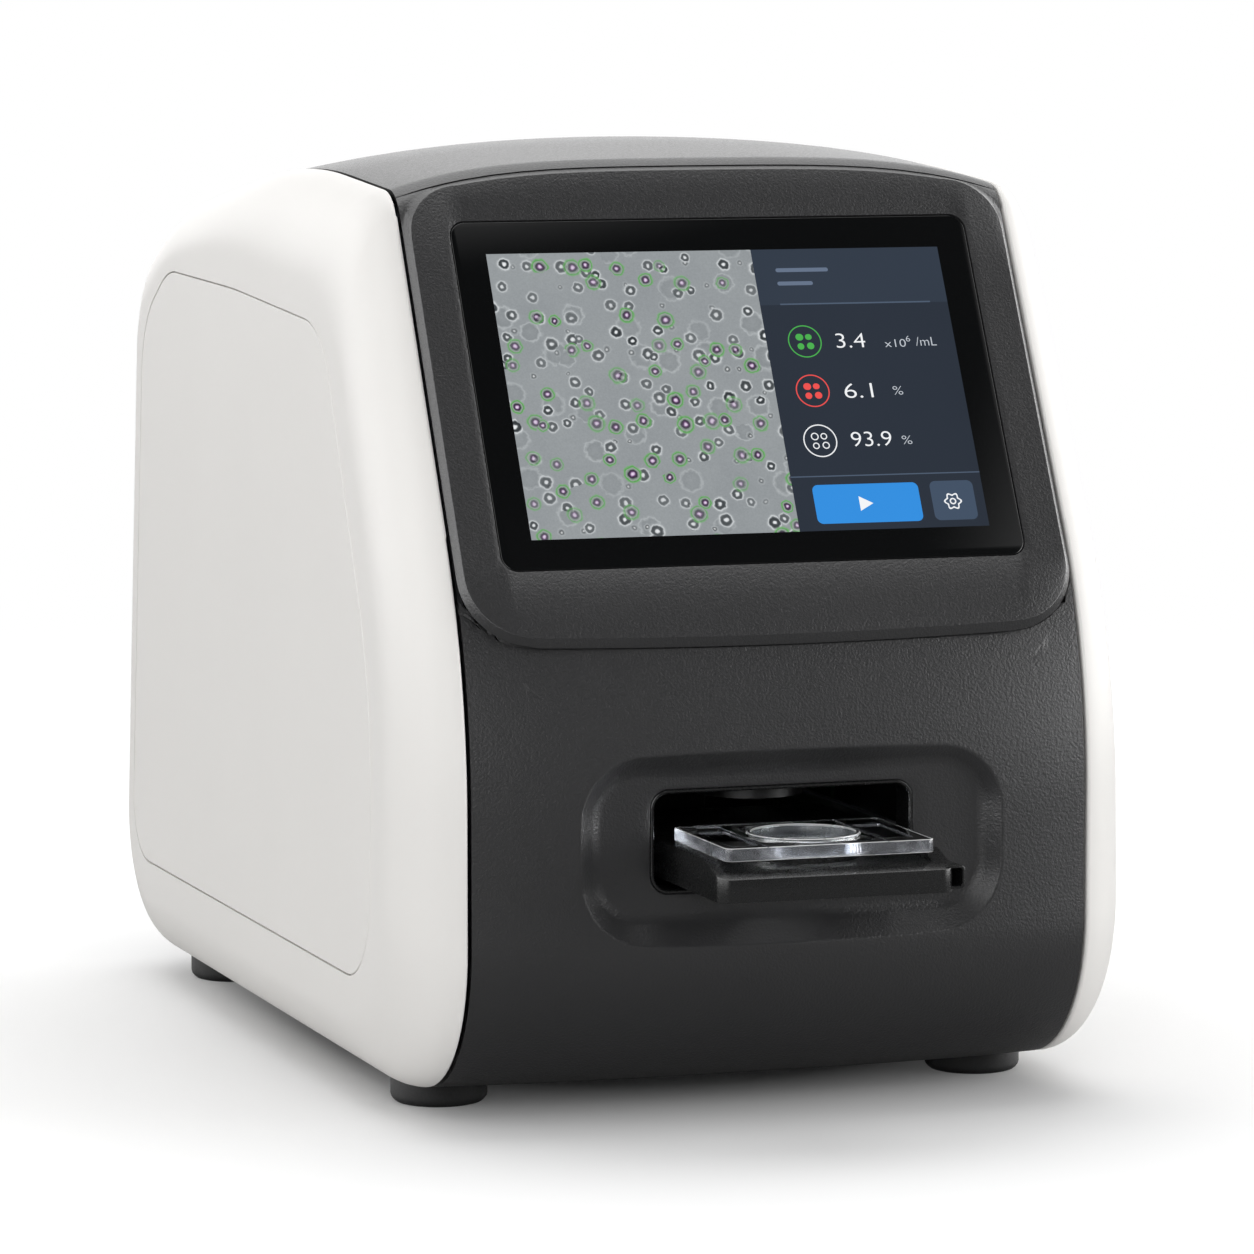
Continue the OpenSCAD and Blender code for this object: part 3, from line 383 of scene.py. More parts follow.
def face_edge(x, d):
    """Point of the lower outline of the face, d inside it, for column x."""
    if abs(x) <= CORNER_X:
        return x, FACE_BOTTOM - FACE_BOW * (1 - (x / CORNER_X) ** 2) + d
    s = min(1.0, (abs(x) - CORNER_X) / (BEZEL_X - CORNER_X))
    return math.copysign(CORNER_X + (FACE_R - d) * s, x), CORNER_Y - (FACE_R - d) * math.sqrt(1 - s * s)


def lower_edge(x, d):
    """Height of that outline at x itself."""
    if abs(x) <= CORNER_X:
        return face_edge(x, d)[1]
    return CORNER_Y - math.sqrt(max(0.0, (FACE_R - d) ** 2 - (abs(x) - CORNER_X) ** 2))


def sunk(x):
    """How far the shell lies behind the bezel's face."""
    return CHAMFER - FACE_CROWN * (1 - (abs(x) / CENTRE_X) ** 8)


def hood_corners(x):
    """Corners of the hood's side view at x, swollen towards the middle."""
    up = TOP_CROWN * (1 - (x / CENTRE_X) ** 2)
    slope = (ROOF_FRONT_Z - BROW_Z) / (ROOF_FRONT_Y - lean_y(BROW_Z, CHAMFER))
    z0 = BROW_Z + BROW_CROWN * (1 - (abs(x) / CENTRE_X) ** 4)
    y0 = lean_y(BROW_Z, CHAMFER)
    z = (z0 + slope * (lean_y(0, sunk(x)) - y0)) / (1 - slope * math.tan(LEAN))
    return [Vector(p) for p in (
        (lean_y(200, sunk(x)), 200), (lean_y(z, sunk(x)), z), (ROOF_FRONT_Y, ROOF_FRONT_Z + up),
        (ROOF_REAR_Y, ROOF_REAR_Z + up), (rear_line(KNEE_Z), KNEE_Z + up * KNEE_CROWN),
        (rear_line(HOOD_REAR_Z), HOOD_REAR_Z))]


def crease(x):
    """Where the brow's roll meets the crease above the bezel: up the face, and out of it."""
    c = hood_corners(x)
    p = fillet(c[0], c[1], c[2], BROW_R, 1, BROW_TURN)[0]
    return on_face((x, p.x, p.y))[1:]


def shell_under(x, v):
    """The shell's place out of the face at height v, below the crease."""
    rise = max(0.0, v - crease(x)[0] + BROW_R * math.sin(BROW_TURN))
    return -sunk(x) - (BROW_R - math.sqrt(BROW_R ** 2 - rise ** 2))


BEZEL_CORNER_X = BEZEL_X - BEZEL_R
BEZEL_CORNER_V = crease(BEZEL_CORNER_X)[0] - CREASE_W - BEZEL_CHAMFER - BEZEL_R


def bezel_top(x, grow=0.0):
    """Height of the bezel's upper outline at x, grown outwards."""
    if abs(x) <= BEZEL_CORNER_X:
        return crease(x)[0] - CREASE_W - BEZEL_CHAMFER + grow
    reach = (BEZEL_R + grow) ** 2 - (abs(x) - BEZEL_CORNER_X) ** 2
    return min(BEZEL_CORNER_V + math.sqrt(max(0.0, reach)), crease(x)[0] - CREASE_W)


def hood_column(x):
    """Points of the hood at x, from the seam below the display to the rear edge."""
    edge = abs(x) > BEZEL_X + 0.5
    face = -CHAMFER if edge else 0.0
    c = hood_corners(x)
    v_crease, out_crease = crease(x)
    foot = bezel_top(x, BEZEL_CHAMFER)
    top = min(bezel_top(x), foot - 1)
    outline = FACE_R - (CENTRE_X - CORNER_X) if abs(x) > CORNER_X else 0
    column = [from_face(*face_edge(x, outline), -CHAMFER),
              from_face(x, CORNER_Y + 1, face) if edge else from_face(*face_edge(x, CHAMFER), face)]
    column += [from_face(x, v, face) for v in (CORNER_Y + 3, -30, 10, 45)]
    column.append(from_face(x, top, shell_under(x, top) if edge else 0.0))
    for t in (0, 0.35, 0.7, 1):
        v = foot + (v_crease - CREASE_W - foot) * t
        column.append(from_face(x, v, shell_under(x, v)))
    fade = max(0.0, min(1.0, (BEZEL_X - abs(x)) / CREASE_FADE))
    column.append(from_face(x, v_crease - CREASE_W * 0.45, out_crease - CREASE_DEPTH * fade))
    column += [(x, p.x, p.y) for p in fillet(c[0], c[1], c[2], BROW_R, 8, BROW_TURN)]
    for i, (radius, steps) in enumerate(((ROOF_R, 16), (ROOF_REAR_R, 12), (KNEE_R, 14)), start=1):
        column += [(x, p.x, p.y) for p in fillet(c[i], c[i + 1], c[i + 2], radius, steps)]
    return column + [(x, c[5].x, c[5].y)]


half = [CORNER_X * i / 8 for i in range(8)] + [
    CORNER_X + (BEZEL_X - CORNER_X) * math.sin(math.radians(7.5 * i)) for i in range(13)] + [CENTRE_X]
columns = [-x for x in reversed(half[1:])] + half
hood = loft("display_hood", [hood_column(x) for x in columns], closed=False)


def apply_modifier(piece, kind, **settings):
    take(piece)
    modifier = piece.modifiers.new(kind.lower(), kind)
    for key, value in settings.items():
        setattr(modifier, key, value)
    bpy.ops.object.modifier_apply(modifier=modifier.name)


apply_modifier(hood, "SOLIDIFY", thickness=WALL * MM, offset=-1, use_even_offset=True)
GLASS_W, GLASS_H, GLASS_R, GLASS_Y = 193.8, 133.4, 5.7, 0.56
GLASS_T, GLASS_SINK, GLASS_GAP = 1.8, 0.3, 0.4
OPENING_ROUND, BEZEL_ROUND = 0.5, 0.4
FACE_MATRIX = Matrix.Translation(FACE_MID * MM) @ Matrix.Rotation(math.pi / 2 - LEAN, 4, "X")


def rounded_plate(name, width, height, radius, z0, z1, centre=(0, 0), place=None, corner_steps=8):
    """A plane with rounded corners, extruded from z0 to z1 and moved to its place, in millimetres."""
    bpy.ops.object.select_all(action="DESELECT")
    bpy.ops.mesh.primitive_plane_add(size=1, location=(0, 0, 0))
    piece = bpy.context.object
    piece.name = piece.data.name = name
    bpy.ops.object.mode_set(mode="EDIT")
    bpy.ops.mesh.select_all(action="SELECT")
    bpy.ops.transform.resize(value=(width * MM, height * MM, 1))
    if radius:
        bpy.ops.mesh.bevel(offset=radius * MM, segments=corner_steps, affect="VERTICES")
    bpy.ops.mesh.select_all(action="SELECT")
    bpy.ops.mesh.extrude_region_move(TRANSFORM_OT_translate={"value": (0, 0, (z1 - z0) * MM)})
    bpy.ops.mesh.select_all(action="SELECT")
    bpy.ops.mesh.normals_make_consistent(inside=False)
    bpy.ops.object.mode_set(mode="OBJECT")
    piece.data.transform(Matrix.Translation(Vector((centre[0], centre[1], z0)) * MM))
    if place is not None:
        piece.data.transform(place)
    return piece


def cut_out(piece, cutter):
    apply_modifier(piece, "BOOLEAN", object=cutter, operation="DIFFERENCE", solver="EXACT")
    bpy.data.objects.remove(cutter)


cut_out(hood, rounded_plate("glass_opening", GLASS_W + 2 * GLASS_GAP, GLASS_H + 2 * GLASS_GAP,
                            GLASS_R + GLASS_GAP, -20, 10, (0, GLASS_Y), FACE_MATRIX))


def on_glass_rim(v):
    x, y, z = on_face(v)
    return abs(z) < 0.05 and abs(x) < GLASS_W / 2 + 1 and abs(y - GLASS_Y) < GLASS_H / 2 + 1


def on_bezel_rim(v):
    x, y, z = on_face(v)
    return abs(z) < 0.02 and (abs(abs(x) - BEZEL_X) < 0.02 or abs(y - bezel_top(x)) < 0.04
                              or abs(y - lower_edge(x, CHAMFER)) < 0.04)


round_edges(hood, on_glass_rim, OPENING_ROUND, 2)
round_edges(hood, on_bezel_rim, BEZEL_ROUND, 2)
finish_piece(hood, "housing", DARK_ABS, ["hood_cover"], angle=35)


# ---------------------------------------------------------------------------
# Front fascia
# Moulded in the same charcoal ABS: crowned across its width, rolled under at the bottom, with a dished
# surround that leads the hand to the sample tray. It tucks under the display hood.
# ---------------------------------------------------------------------------
FRONT_CROWN, CHAMFER_CROWN = 7.5, 1.5
FASCIA_EDGE_Y = -122.5
TUCK = 0.6  # how far the fascia's edge stays under the display face's outline


def fascia_section(x):
    """Side view of the fascia at x, from its lower edge up behind the display face."""
    swell = 1 - (abs(x) / CENTRE_X) ** 2.8
    y = FRONT_Y - FRONT_CROWN * swell
    behind = CHAMFER - CHAMFER_CROWN * swell
    c = [Vector(p) for p in ((-60, BASE_Z), (y, BASE_Z), (y, lean_z(y, behind)),
                             (lean_y(260, behind), 260))]
    return ([Vector((FASCIA_EDGE_Y, BASE_Z))] + fillet(c[0], c[1], c[2], FRONT_FOOT_R, 24)
            + fillet(c[1], c[2], c[3], FRONT_BEND_R, 16) + [c[3]])


def section_length(points):
    total = [0.0]
    for a, b in zip(points, points[1:]):
        total.append(total[-1] + (b - a).length)
    return total


def along_section(x, s):
    """The point of that side view at the length s along it."""
    points = fascia_section(x)
    total = section_length(points)
    for i in range(len(points) - 1):
        if s <= total[i + 1] or i == len(points) - 2:
            p = points[i].lerp(points[i + 1], (s - total[i]) / (total[i + 1] - total[i]))
            return x, p.x, p.y


def length_at_height(x, z):
    points = fascia_section(x)
    total = section_length(points)
    for i in range(1, len(points) - 1):
        if points[i + 1].y >= z:
            share = (z - points[i].y) / (points[i + 1].y - points[i].y)
            return total[i] + (total[i + 1] - total[i]) * share
    return total[-1]


def surface_y(x, z):
    return along_section(x, length_at_height(x, z))[1]


def between(a, b, t):
    return tuple(p + (q - p) * t for p, q in zip(a, b))


RECESS_MID_X, RECESS_MID_Z = 2.6, 99.6
RECESS_W, RECESS_H, RECESS_R = 160.5, 69.2, 25.0
RECESS_FLOOR_Y, RECESS_MOUTH_Y, RECESS_SLOPE = -178.5, -186.0, 9.0
RECESS_FAR_Y = -198.0  # in front of the crowned surface everywhere
SLOT_W, SLOT_H, SLOT_R, SLOT_MID_Z, SLOT_END_Y = 97.0, 36.4, 6.7, 100.6, -166.0
MOUTH_ROUND, FLOOR_ROUND, SLOT_ROUND, FASCIA_WALL = 0.6, 2.6, 0.6, 2.5


def rounded_outline(width, height, radius, mid_z):
    """Points round a rounded rectangle in the x-z plane; like points of two outlines share an index."""
    w, h = width / 2 - radius, height / 2 - radius
    corners = ((w, h), (-w, h), (-w, -h), (w, -h))
    points = []
    for k in range(4):
        arc = [math.radians(90 * k + 90 * i / 24) for i in range(25)]
        points += [(corners[k][0] + radius * math.cos(a), mid_z + corners[k][1] + radius * math.sin(a))
                   for a in arc[:-1]]
        ends = [(x + radius * math.cos(arc[-1]), mid_z + z + radius * math.sin(arc[-1]))
                for x, z in (corners[k], corners[(k + 1) % 4])]
        steps = (24, 12)[k % 2]
        points += [between(*ends, i / steps) for i in range(steps)]
    return points


def recess_outline(y):
    grow = 2 * RECESS_SLOPE * ((RECESS_FLOOR_Y - y) / (RECESS_FLOOR_Y - RECESS_MOUTH_Y) - 1)
    outline = rounded_outline(RECESS_W + grow, RECESS_H + grow, RECESS_R + grow / 2, RECESS_MID_Z)
    return [(x + RECESS_MID_X, z) for x, z in outline]


def mouth_outline():
    """Where the sloped wall of the dish meets the crowned front."""
    points = []
    for p, q in zip(recess_outline(RECESS_FLOOR_Y), recess_outline(RECESS_FAR_Y)):
        low, high = 0.0, 1.0
        for _ in range(24):
            t = (low + high) / 2
            x, z = between(p, q, t)
            if RECESS_FLOOR_Y + (RECESS_FAR_Y - RECESS_FLOOR_Y) * t > surface_y(x, z):
                low = t
            else:
                high = t
        points.append((x, z))
    return points


def edge_height(x):
    """Height of the fascia's upper edge, just under the display face's outline."""
    return from_face(x, lower_edge(x, -TUCK), -CHAMFER)[2]


mouth = mouth_outline()
mouth_s = [(x, length_at_height(x, z)) for x, z in mouth]
side_s = length_at_height(CENTRE_X, edge_height(CENTRE_X))
UPPER_RIGHT = 12  # the recess's point that answers the upper right corner of the fascia
ACROSS, DOWN = 48, 36


def edge_point(index):
    """Point of the fascia's outer edge: x, and the length along the side view."""
    k = (index - UPPER_RIGHT) % (2 * ACROSS + 2 * DOWN)
    if k < ACROSS:  # upper edge, right to left
        x = CENTRE_X * (1 - 2 * k / ACROSS)
        return x, length_at_height(x, edge_height(x))
    k -= ACROSS
    if k < DOWN:  # left edge, downwards
        return -CENTRE_X, side_s * (1 - k / DOWN)
    k -= DOWN
    if k < ACROSS:  # lower edge, left to right
        return CENTRE_X * (2 * k / ACROSS - 1), 0.0
    return CENTRE_X, side_s * (k - ACROSS) / DOWN


outer_s = [edge_point(i) for i in range(len(mouth))]
floor_outline = recess_outline(RECESS_FLOOR_Y)
slot_outline = rounded_outline(SLOT_W, SLOT_H, SLOT_R, SLOT_MID_Z)
FASCIA_STEPS = 30
rings = [[(x, y, z) for x, z in slot_outline] for y in (SLOT_END_Y, RECESS_FLOOR_Y)]
for t in (0.25, 0.6, 1.0):
    ring = [between(a, b, t) for a, b in zip(slot_outline, floor_outline)]
    rings.append([(x, RECESS_FLOOR_Y, z) for x, z in ring])
for step in range(FASCIA_STEPS + 1):
    rings.append([along_section(*between(a, b, step / FASCIA_STEPS)) for a, b in zip(mouth_s, outer_s)])
fascia = loft("front_fascia", rings, caps=False)


def near(points):
    """A test for the corners of a mesh that lie on the points."""
    spots = [Vector(p) for p in points]
    return lambda v: min((v - p).length for p in spots) < 0.02


round_edges(fascia, near([(x, surface_y(x, z), z) for x, z in mouth]), MOUTH_ROUND)
round_edges(fascia, near([(x, RECESS_FLOOR_Y, z) for x, z in floor_outline]), FLOOR_ROUND, 6)
round_edges(fascia, near([(x, RECESS_FLOOR_Y, z) for x, z in slot_outline]), SLOT_ROUND)
apply_modifier(fascia, "SOLIDIFY", thickness=FASCIA_WALL * MM, offset=-1, use_even_offset=False)
finish_piece(fascia, "housing", DARK_ABS, ["lower_fascia"], angle=35)

# A tongue stands behind the seam under the display, so that no light comes through it
TONGUE_BACK, TONGUE_T, TONGUE_HALF_H, TONGUE_REACH = 4.0, 1.0, 4.0, 0.985
tongue_rings = []
for k in range(49):
    across = TONGUE_REACH * CENTRE_X * (1 - k / 24)
    x, y, z = from_face(across, lower_edge(across, -TUCK), -CHAMFER - TONGUE_BACK)
    tongue_rings.append([(x, y, z - TONGUE_HALF_H), (x, y + TONGUE_T, z - TONGUE_HALF_H),
                         (x, y + TONGUE_T, z + TONGUE_HALF_H), (x, y, z + TONGUE_HALF_H)])
finish_piece(loft("fascia_seam_tongue", tongue_rings), "housing", DARK_ABS, angle=40)

# ---------------------------------------------------------------------------
# Rear cover and its bay
# The same charcoal ABS closes the lower back. A rounded bay is sunk into it for the connector panel, so
# that plugs stay inside the outline of the instrument.
# ---------------------------------------------------------------------------
REAR_START_Y, REAR_TOP_Z, REAR_INSET = 182.5, HOOD_REAR_Z - 1, 0.06
BAY_W, BAY_H, BAY_R, BAY_Z = 184.0, 146.0, 6.0, 115.0
BAY_WALL, BAY_SILL, PANEL_OUT_Y = 2.5, 1.6, 221.5
rear_path = [Vector((rear_line(REAR_TOP_Z), REAR_TOP_Z)),
             *fillet(SEAM_CORNERS[5], SEAM_CORNERS[6], SEAM_CORNERS[0], REAR_FOOT_R, 24),
             Vector((REAR_START_Y, BASE_Z))]
rear_cover = loft("lower_rear_cover", [[(x, p.x - REAR_INSET, p.y) for p in rear_path]
                                       for x in (-CENTRE_X, CENTRE_X)], closed=False)
apply_modifier(rear_cover, "SOLIDIFY", thickness=WALL * MM, offset=-1, use_even_offset=True)


def front_place(y, z):
    """Turns a plate's own z towards the front, with its middle at y and z."""
    return Matrix.Translation(Vector((0, y, z)) * MM) @ Matrix.Rotation(math.pi / 2, 4, "X")


def on_bay_rim(v):
    return (abs(v.y - rear_line(v.z)) < 0.05 and abs(v.x) < BAY_W / 2 + 0.1
            and abs(v.z - BAY_Z) < BAY_H / 2 + 0.1)


def joined(piece, *others):
    take(piece, *others)
    bpy.ops.object.join()
    return piece


cut_out(rear_cover, rounded_plate("bay_opening", BAY_W, BAY_H, BAY_R, -20, 20,
                                  place=front_place(REAR_Y - 5, BAY_Z)))
round_edges(rear_cover, on_bay_rim, 1.0)
bay_rings = []
for wall, deep in ((BAY_WALL, 0), (BAY_WALL, 1), (0, 1), (0, 0), (BAY_WALL, 0)):
    outline = rounded_outline(BAY_W + 2 * wall, BAY_H + 2 * wall, BAY_R + wall, BAY_Z)
    bay_rings.append([(x, PANEL_OUT_Y if deep else rear_line(z) - BAY_SILL, z) for x, z in outline])
joined(rear_cover, loft("bay_walls", bay_rings, caps=False))
finish_piece(rear_cover, "housing", DARK_ABS, ["rear_cover"], angle=35)
apply_modifier(rear_cover, "WEIGHTED_NORMAL", keep_sharp=True)

# ---------------------------------------------------------------------------
# Display
# A black-backed cover glass with a polished edge is bonded into the bezel. The lit panel behind it shows
# a brightfield image of cells beside a slate area with three results and two touch buttons.
# ---------------------------------------------------------------------------
SCREEN_W, SCREEN_H = 170.0, 109.4
INK_T = 0.02  # one layer of lit ink; each level of the picture stands one layer higher
# Cover glass over black ink: near black and deep, with sharp reflections of the soft boxes
BLACK_GLASS = grained("black_backed_cover_glass", "#08090A", "#0A0B0C", 0.06, 0.01, 3.0, 0.0,
                      mottle_mm=80.0)
BLACK_GLASS.node_tree.nodes["Principled BSDF"].inputs["IOR"].default_value = 1.5
glass = rounded_plate("display_cover_glass", GLASS_W, GLASS_H, GLASS_R, -GLASS_SINK - GLASS_T, -GLASS_SINK,
                      (0, GLASS_Y), FACE_MATRIX)
round_edges(glass, lambda v: abs(on_face(v)[2] + GLASS_SINK) < 0.01, 0.35)
finish_piece(glass, "housing", BLACK_GLASS, ["touch_glass"])


def lit_material(name):
    """Black behind glass, with the glass's gloss: only its own light gives it colour."""
    material, tree, shader = new_material(name)
    shader.inputs["Base Color"].default_value = linear("#070707")
    shader.inputs["Roughness"].default_value = 0.06
    return material, tree, shader


def lit(name, hex_colour, drift):
    """Lit screen ink; its backlight is uneven by the drift, in clouds about 45 mm wide."""
    material, tree, shader = lit_material(name)
    cloud = add(tree, "TexNoise", Vector=add(tree, "TexCoord").outputs["Object"], Scale=22.0, Detail=1.0)
    level = add(tree, "MapRange", Value=cloud.outputs[0], **NOISE, in3=1 - drift, in4=1 + drift)
    shader.inputs["Emission Color"].default_value = linear(hex_colour)
    tree.links.new(level.outputs[0], shader.inputs["Emission Strength"])
    return material


def on_screen(u, v):
    """The place of a screen point: u runs across the screen and v down it, 0 to 1."""
    middle = from_face((u - 0.5) * SCREEN_W, (0.5 - v) * SCREEN_H, -GLASS_SINK)
    return Matrix.Translation(Vector(middle) * MM) @ FACE_MATRIX.to_3x3().to_4x4()


def screen_piece(piece, material):
    return finish_piece(piece, "housing", material)


def screen_plate(name, material, level, u0, v0, u1, v1, radius=0.0):
    """A lit area from u0, v0 to u1, v1, at its level."""
    width, height = (u1 - u0) * SCREEN_W, (v1 - v0) * SCREEN_H
    centre = ((u0 + u1) / 2 - 0.5) * SCREEN_W, (0.5 - (v0 + v1) / 2) * SCREEN_H
    screen_piece(rounded_plate(name, width, height, min(radius, 0.499 * min(width, height)), -GLASS_SINK,
                               INK_T * level - GLASS_SINK, centre, FACE_MATRIX), material)


MULTIPLY = {"operation": "MULTIPLY"}


def cells(tree, place, below, spacing, shift, radius, keep, distort, stops):
    """Lays round cells over the picture below, one in each Voronoi field or none, of uneven size."""
    moved = add(tree, "VectorMath", in0=place, in1=(shift, 0.7 * shift, 0)).outputs[0]
    swirl = add(tree, "TexNoise", Vector=moved, Scale=0.55, Detail=1.0).outputs["Color"]
    swirl = add(tree, "VectorMath", {"operation": "MULTIPLY_ADD"}, in0=swirl, in1=(distort, distort, 0),
                in2=moved)
    field = add(tree, "TexVoronoi", {"voronoi_dimensions": "2D"}, Vector=swirl.outputs[0], Scale=1 / spacing)
    chance = add(tree, "SeparateXYZ", Vector=field.outputs["Color"])
    size = add(tree, "MapRange", Value=chance.outputs[0], in3=0.78 * radius / spacing,
               in4=1.15 * radius / spacing)
    reach = add(tree, "Math", {"operation": "DIVIDE"}, in0=field.outputs["Distance"], in1=size.outputs[0])
    ramp = add(tree, "ValToRGB", Fac=reach.outputs[0])
    elements = ramp.color_ramp.elements
    for i, (at, tone, alpha) in enumerate(stops):
        stop = elements[i] if i < 2 else elements.new(at)
        stop.position = at
        stop.color = linear(tone)[:3] + (alpha,)
    kept = add(tree, "Math", {"operation": "LESS_THAN"}, in0=chance.outputs[1], in1=keep)
    depth = add(tree, "MapRange", Value=chance.outputs[2], in3=0.55, in4=1.0)
    share = ramp.outputs["Alpha"]
    for factor in (kept, depth):
        share = add(tree, "Math", MULTIPLY, in0=share, in1=factor.outputs[0]).outputs[0]
    return add(tree, "Mix", RGBA, Factor=share, in6=below, in7=ramp.outputs["Color"]).outputs[2]


# Brightfield image: grey medium that drifts over 30 mm, with living cells ringed in green, plain cells,
# blurred ones, and a speckle of 0.6 mm
MICROGRAPH, tree, shader = lit_material("brightfield_cell_image")
place = add(tree, "Mapping", {"vector_type": "TEXTURE"}, Vector=add(tree, "TexCoord").outputs["Object"],
            Location=FACE_MID * MM, Rotation=(math.pi / 2 - LEAN, 0, 0), Scale=(MM, MM, MM)).outputs[0]
cloud = add(tree, "TexNoise", Vector=place, Scale=0.035, Detail=3.0).outputs[0]
picture = add(tree, "Mix", RGBA, Factor=cloud, in6=linear("#8B9094"), in7=linear("#9DA2A4")).outputs[2]
# Spacing, shift, radius, share kept and unevenness, then the tones and their cover from the middle out
for layer, stops in (
        ((15, 31, 5.6, 0.6, 2.5), (
            (0.0, "#8A8F92", 0.35), (0.55, "#7E8386", 0.5), (0.74, "#BEC3C5", 0.6), (0.92, "#94999C", 0.0))),
        ((8.5, 87, 1.7, 0.24, 1.0), (
            (0.0, "#F2F4F5", 0.9), (0.35, "#3A3F42", 0.9), (0.8, "#B4B9BB", 0.5), (1.0, "#94999C", 0.0))),
        ((9.0, 11, 3.3, 0.72, 1.2), (
            (0.0, "#F4F6F7", 1.0), (0.15, "#E2E5E7", 1.0), (0.26, "#4A4F52", 1.0), (0.44, "#262B2E", 1.0),
            (0.56, "#5E6366", 1.0), (0.68, "#D9DDDF", 0.95), (0.82, "#AEB3B5", 0.5), (1.0, "#94999C", 0.0))),
        ((10.6, 53, 3.4, 0.66, 1.0), (
            (0.0, "#F1E8F5", 1.0), (0.13, "#D6BCDC", 1.0), (0.24, "#5A3A62", 1.0), (0.4, "#2E2834", 1.0),
            (0.52, "#84918A", 1.0), (0.62, "#9AA69B", 0.9), (0.72, "#4F9E48", 1.0), (0.84, "#6FAE68", 0.8),
            (1.0, "#94999C", 0.0)))):
    picture = cells(tree, place, picture, *layer, stops)
speck = add(tree, "TexNoise", Vector=place, Scale=1.6, Detail=2.0).outputs[0]
speck = add(tree, "MapRange", Value=speck, **NOISE, in3=0.95, in4=1.05).outputs[0]
tree.links.new(picture, shader.inputs["Emission Color"])
tree.links.new(speck, shader.inputs["Emission Strength"])

# Slate interface: header and footer, thin rules, results in white, touch buttons in blue and steel
SLATE = lit("slate_screen_area", "#2B323D", 0.03)
HEADER = lit("slate_screen_header", "#323B48", 0.03)
RULE = lit("steel_blue_screen_ink", "#66748A", 0.01)
THIN_RULE = lit("dim_blue_screen_rule", "#4F5D70", 0.01)
WHITE_INK = lit("white_screen_ink", "#F4F6F8", 0.01)
GREY_INK = lit("light_grey_screen_ink", "#C6CCD4", 0.01)
GREEN_INK = lit("green_screen_ink", "#4CB050", 0.01)
RED_INK = lit("red_screen_ink", "#EF5350", 0.01)
PLAY_BLUE = lit("blue_touch_button", "#348FE0", 0.015)
BUTTON_STEEL = lit("steel_touch_button", "#435266", 0.015)
DIVIDE = 0.58  # the picture ends here and the results begin
for area in (("cell_image", MICROGRAPH, 1, 0, 0, DIVIDE, 1),
             ("result_area", SLATE, 1, DIVIDE, 0, 1, 1),
             ("result_header", HEADER, 2, DIVIDE, 0, 1, 0.2),
             ("header_bar_long", RULE, 3, 0.628, 0.0685, 0.745, 0.0825, 0.8),
             ("header_bar_short", RULE, 3, 0.627, 0.1165, 0.706, 0.1305, 0.8),
             ("header_rule", THIN_RULE, 3, 0.625, 0.1955, 0.961, 0.2005, 0.2),
             ("footer_rule", THIN_RULE, 3, DIVIDE, 0.808, 1, 0.812, 0.2),
             ("start_button", PLAY_BLUE, 3, 0.623, 0.84, 0.857, 0.976, 2.2),
             ("settings_button", BUTTON_STEEL, 3, 0.883, 0.838, 0.979, 0.976, 2.2)):
    screen_plate(*area)


def screen_ring(name, material, level, u, v, outline, line, count=64):
    """A closed line on the screen; outline gives its radius in millimetres at each turn."""
    rings = []
    for inset, z in ((0, 0), (0, INK_T * level), (line, INK_T * level), (line, 0), (0, 0)):
        turns = [2 * math.pi * i / count for i in range(count)]
        rings.append([((outline(a) - inset) * math.cos(a), (outline(a) - inset) * math.sin(a), z)
                      for a in turns])
    piece = loft(name, rings, caps=False)
    piece.data.transform(on_screen(u, v))
    screen_piece(piece, material)


def screen_text(name, text, material, u0, u1, v, height):
    """Figures as a thin mesh, fitted between u0 and u1 with their middle at v."""
    bpy.ops.object.select_all(action="DESELECT")
    bpy.ops.object.text_add()
    piece = bpy.context.object
    piece.name = name
    piece.data.body = text
    piece.data.extrude = 0.01
    piece.data.offset = -0.012
    bpy.ops.object.convert(target="MESH")
    piece = bpy.context.object
    piece.name = piece.data.name = name
    xs, ys = ([point.co[i] for point in piece.data.vertices] for i in (0, 1))
    stretch = Matrix.Diagonal(((u1 - u0) * SCREEN_W / (max(xs) - min(xs)) * MM,
                               height / (max(ys) - min(ys)) * MM, 6 * MM, 1))
    centred = Matrix.Translation((-(min(xs) + max(xs)) / 2, -(min(ys) + max(ys)) / 2, 0))
    piece.data.transform(stretch @ centred)
    piece.data.transform(on_screen((u0 + u1) / 2, v))
    screen_piece(piece, material)


# A ring of four cells beside each result: green for living, red for dead, open for all of them
ICON_R, ICON_LINE = 6.3, 0.42
for label, u, v, ink in (("living", 0.665, 0.332, GREEN_INK), ("dead", 0.663, 0.508, RED_INK),
                         ("whole", 0.660, 0.685, WHITE_INK)):
    screen_ring(label + "_icon_ring", ink, 3, u, v, lambda a: ICON_R, ICON_LINE)
    for i, (dx, dy, w, h) in enumerate(((-1.8, 1.7, 2.9, 2.6), (1.6, 1.7, 2.5, 2.2),
                                        (-1.8, -1.9, 2.5, 2.5), (1.9, -1.8, 2.7, 2.6))):
        name, cell_u, cell_v = "%s_icon_cell_%d" % (label, i), u + dx / SCREEN_W, v - dy / SCREEN_H
        if ink is WHITE_INK:
            screen_ring(name, ink, 3, cell_u, cell_v, lambda a: w * 0.5, 0.38, 24)
        else:
            half_u, half_v = w / 2 / SCREEN_W, h / 2 / SCREEN_H
            screen_plate(name, ink, 3, cell_u - half_u, cell_v - half_v, cell_u + half_u, cell_v + half_v,
                         0.49 * min(w, h))
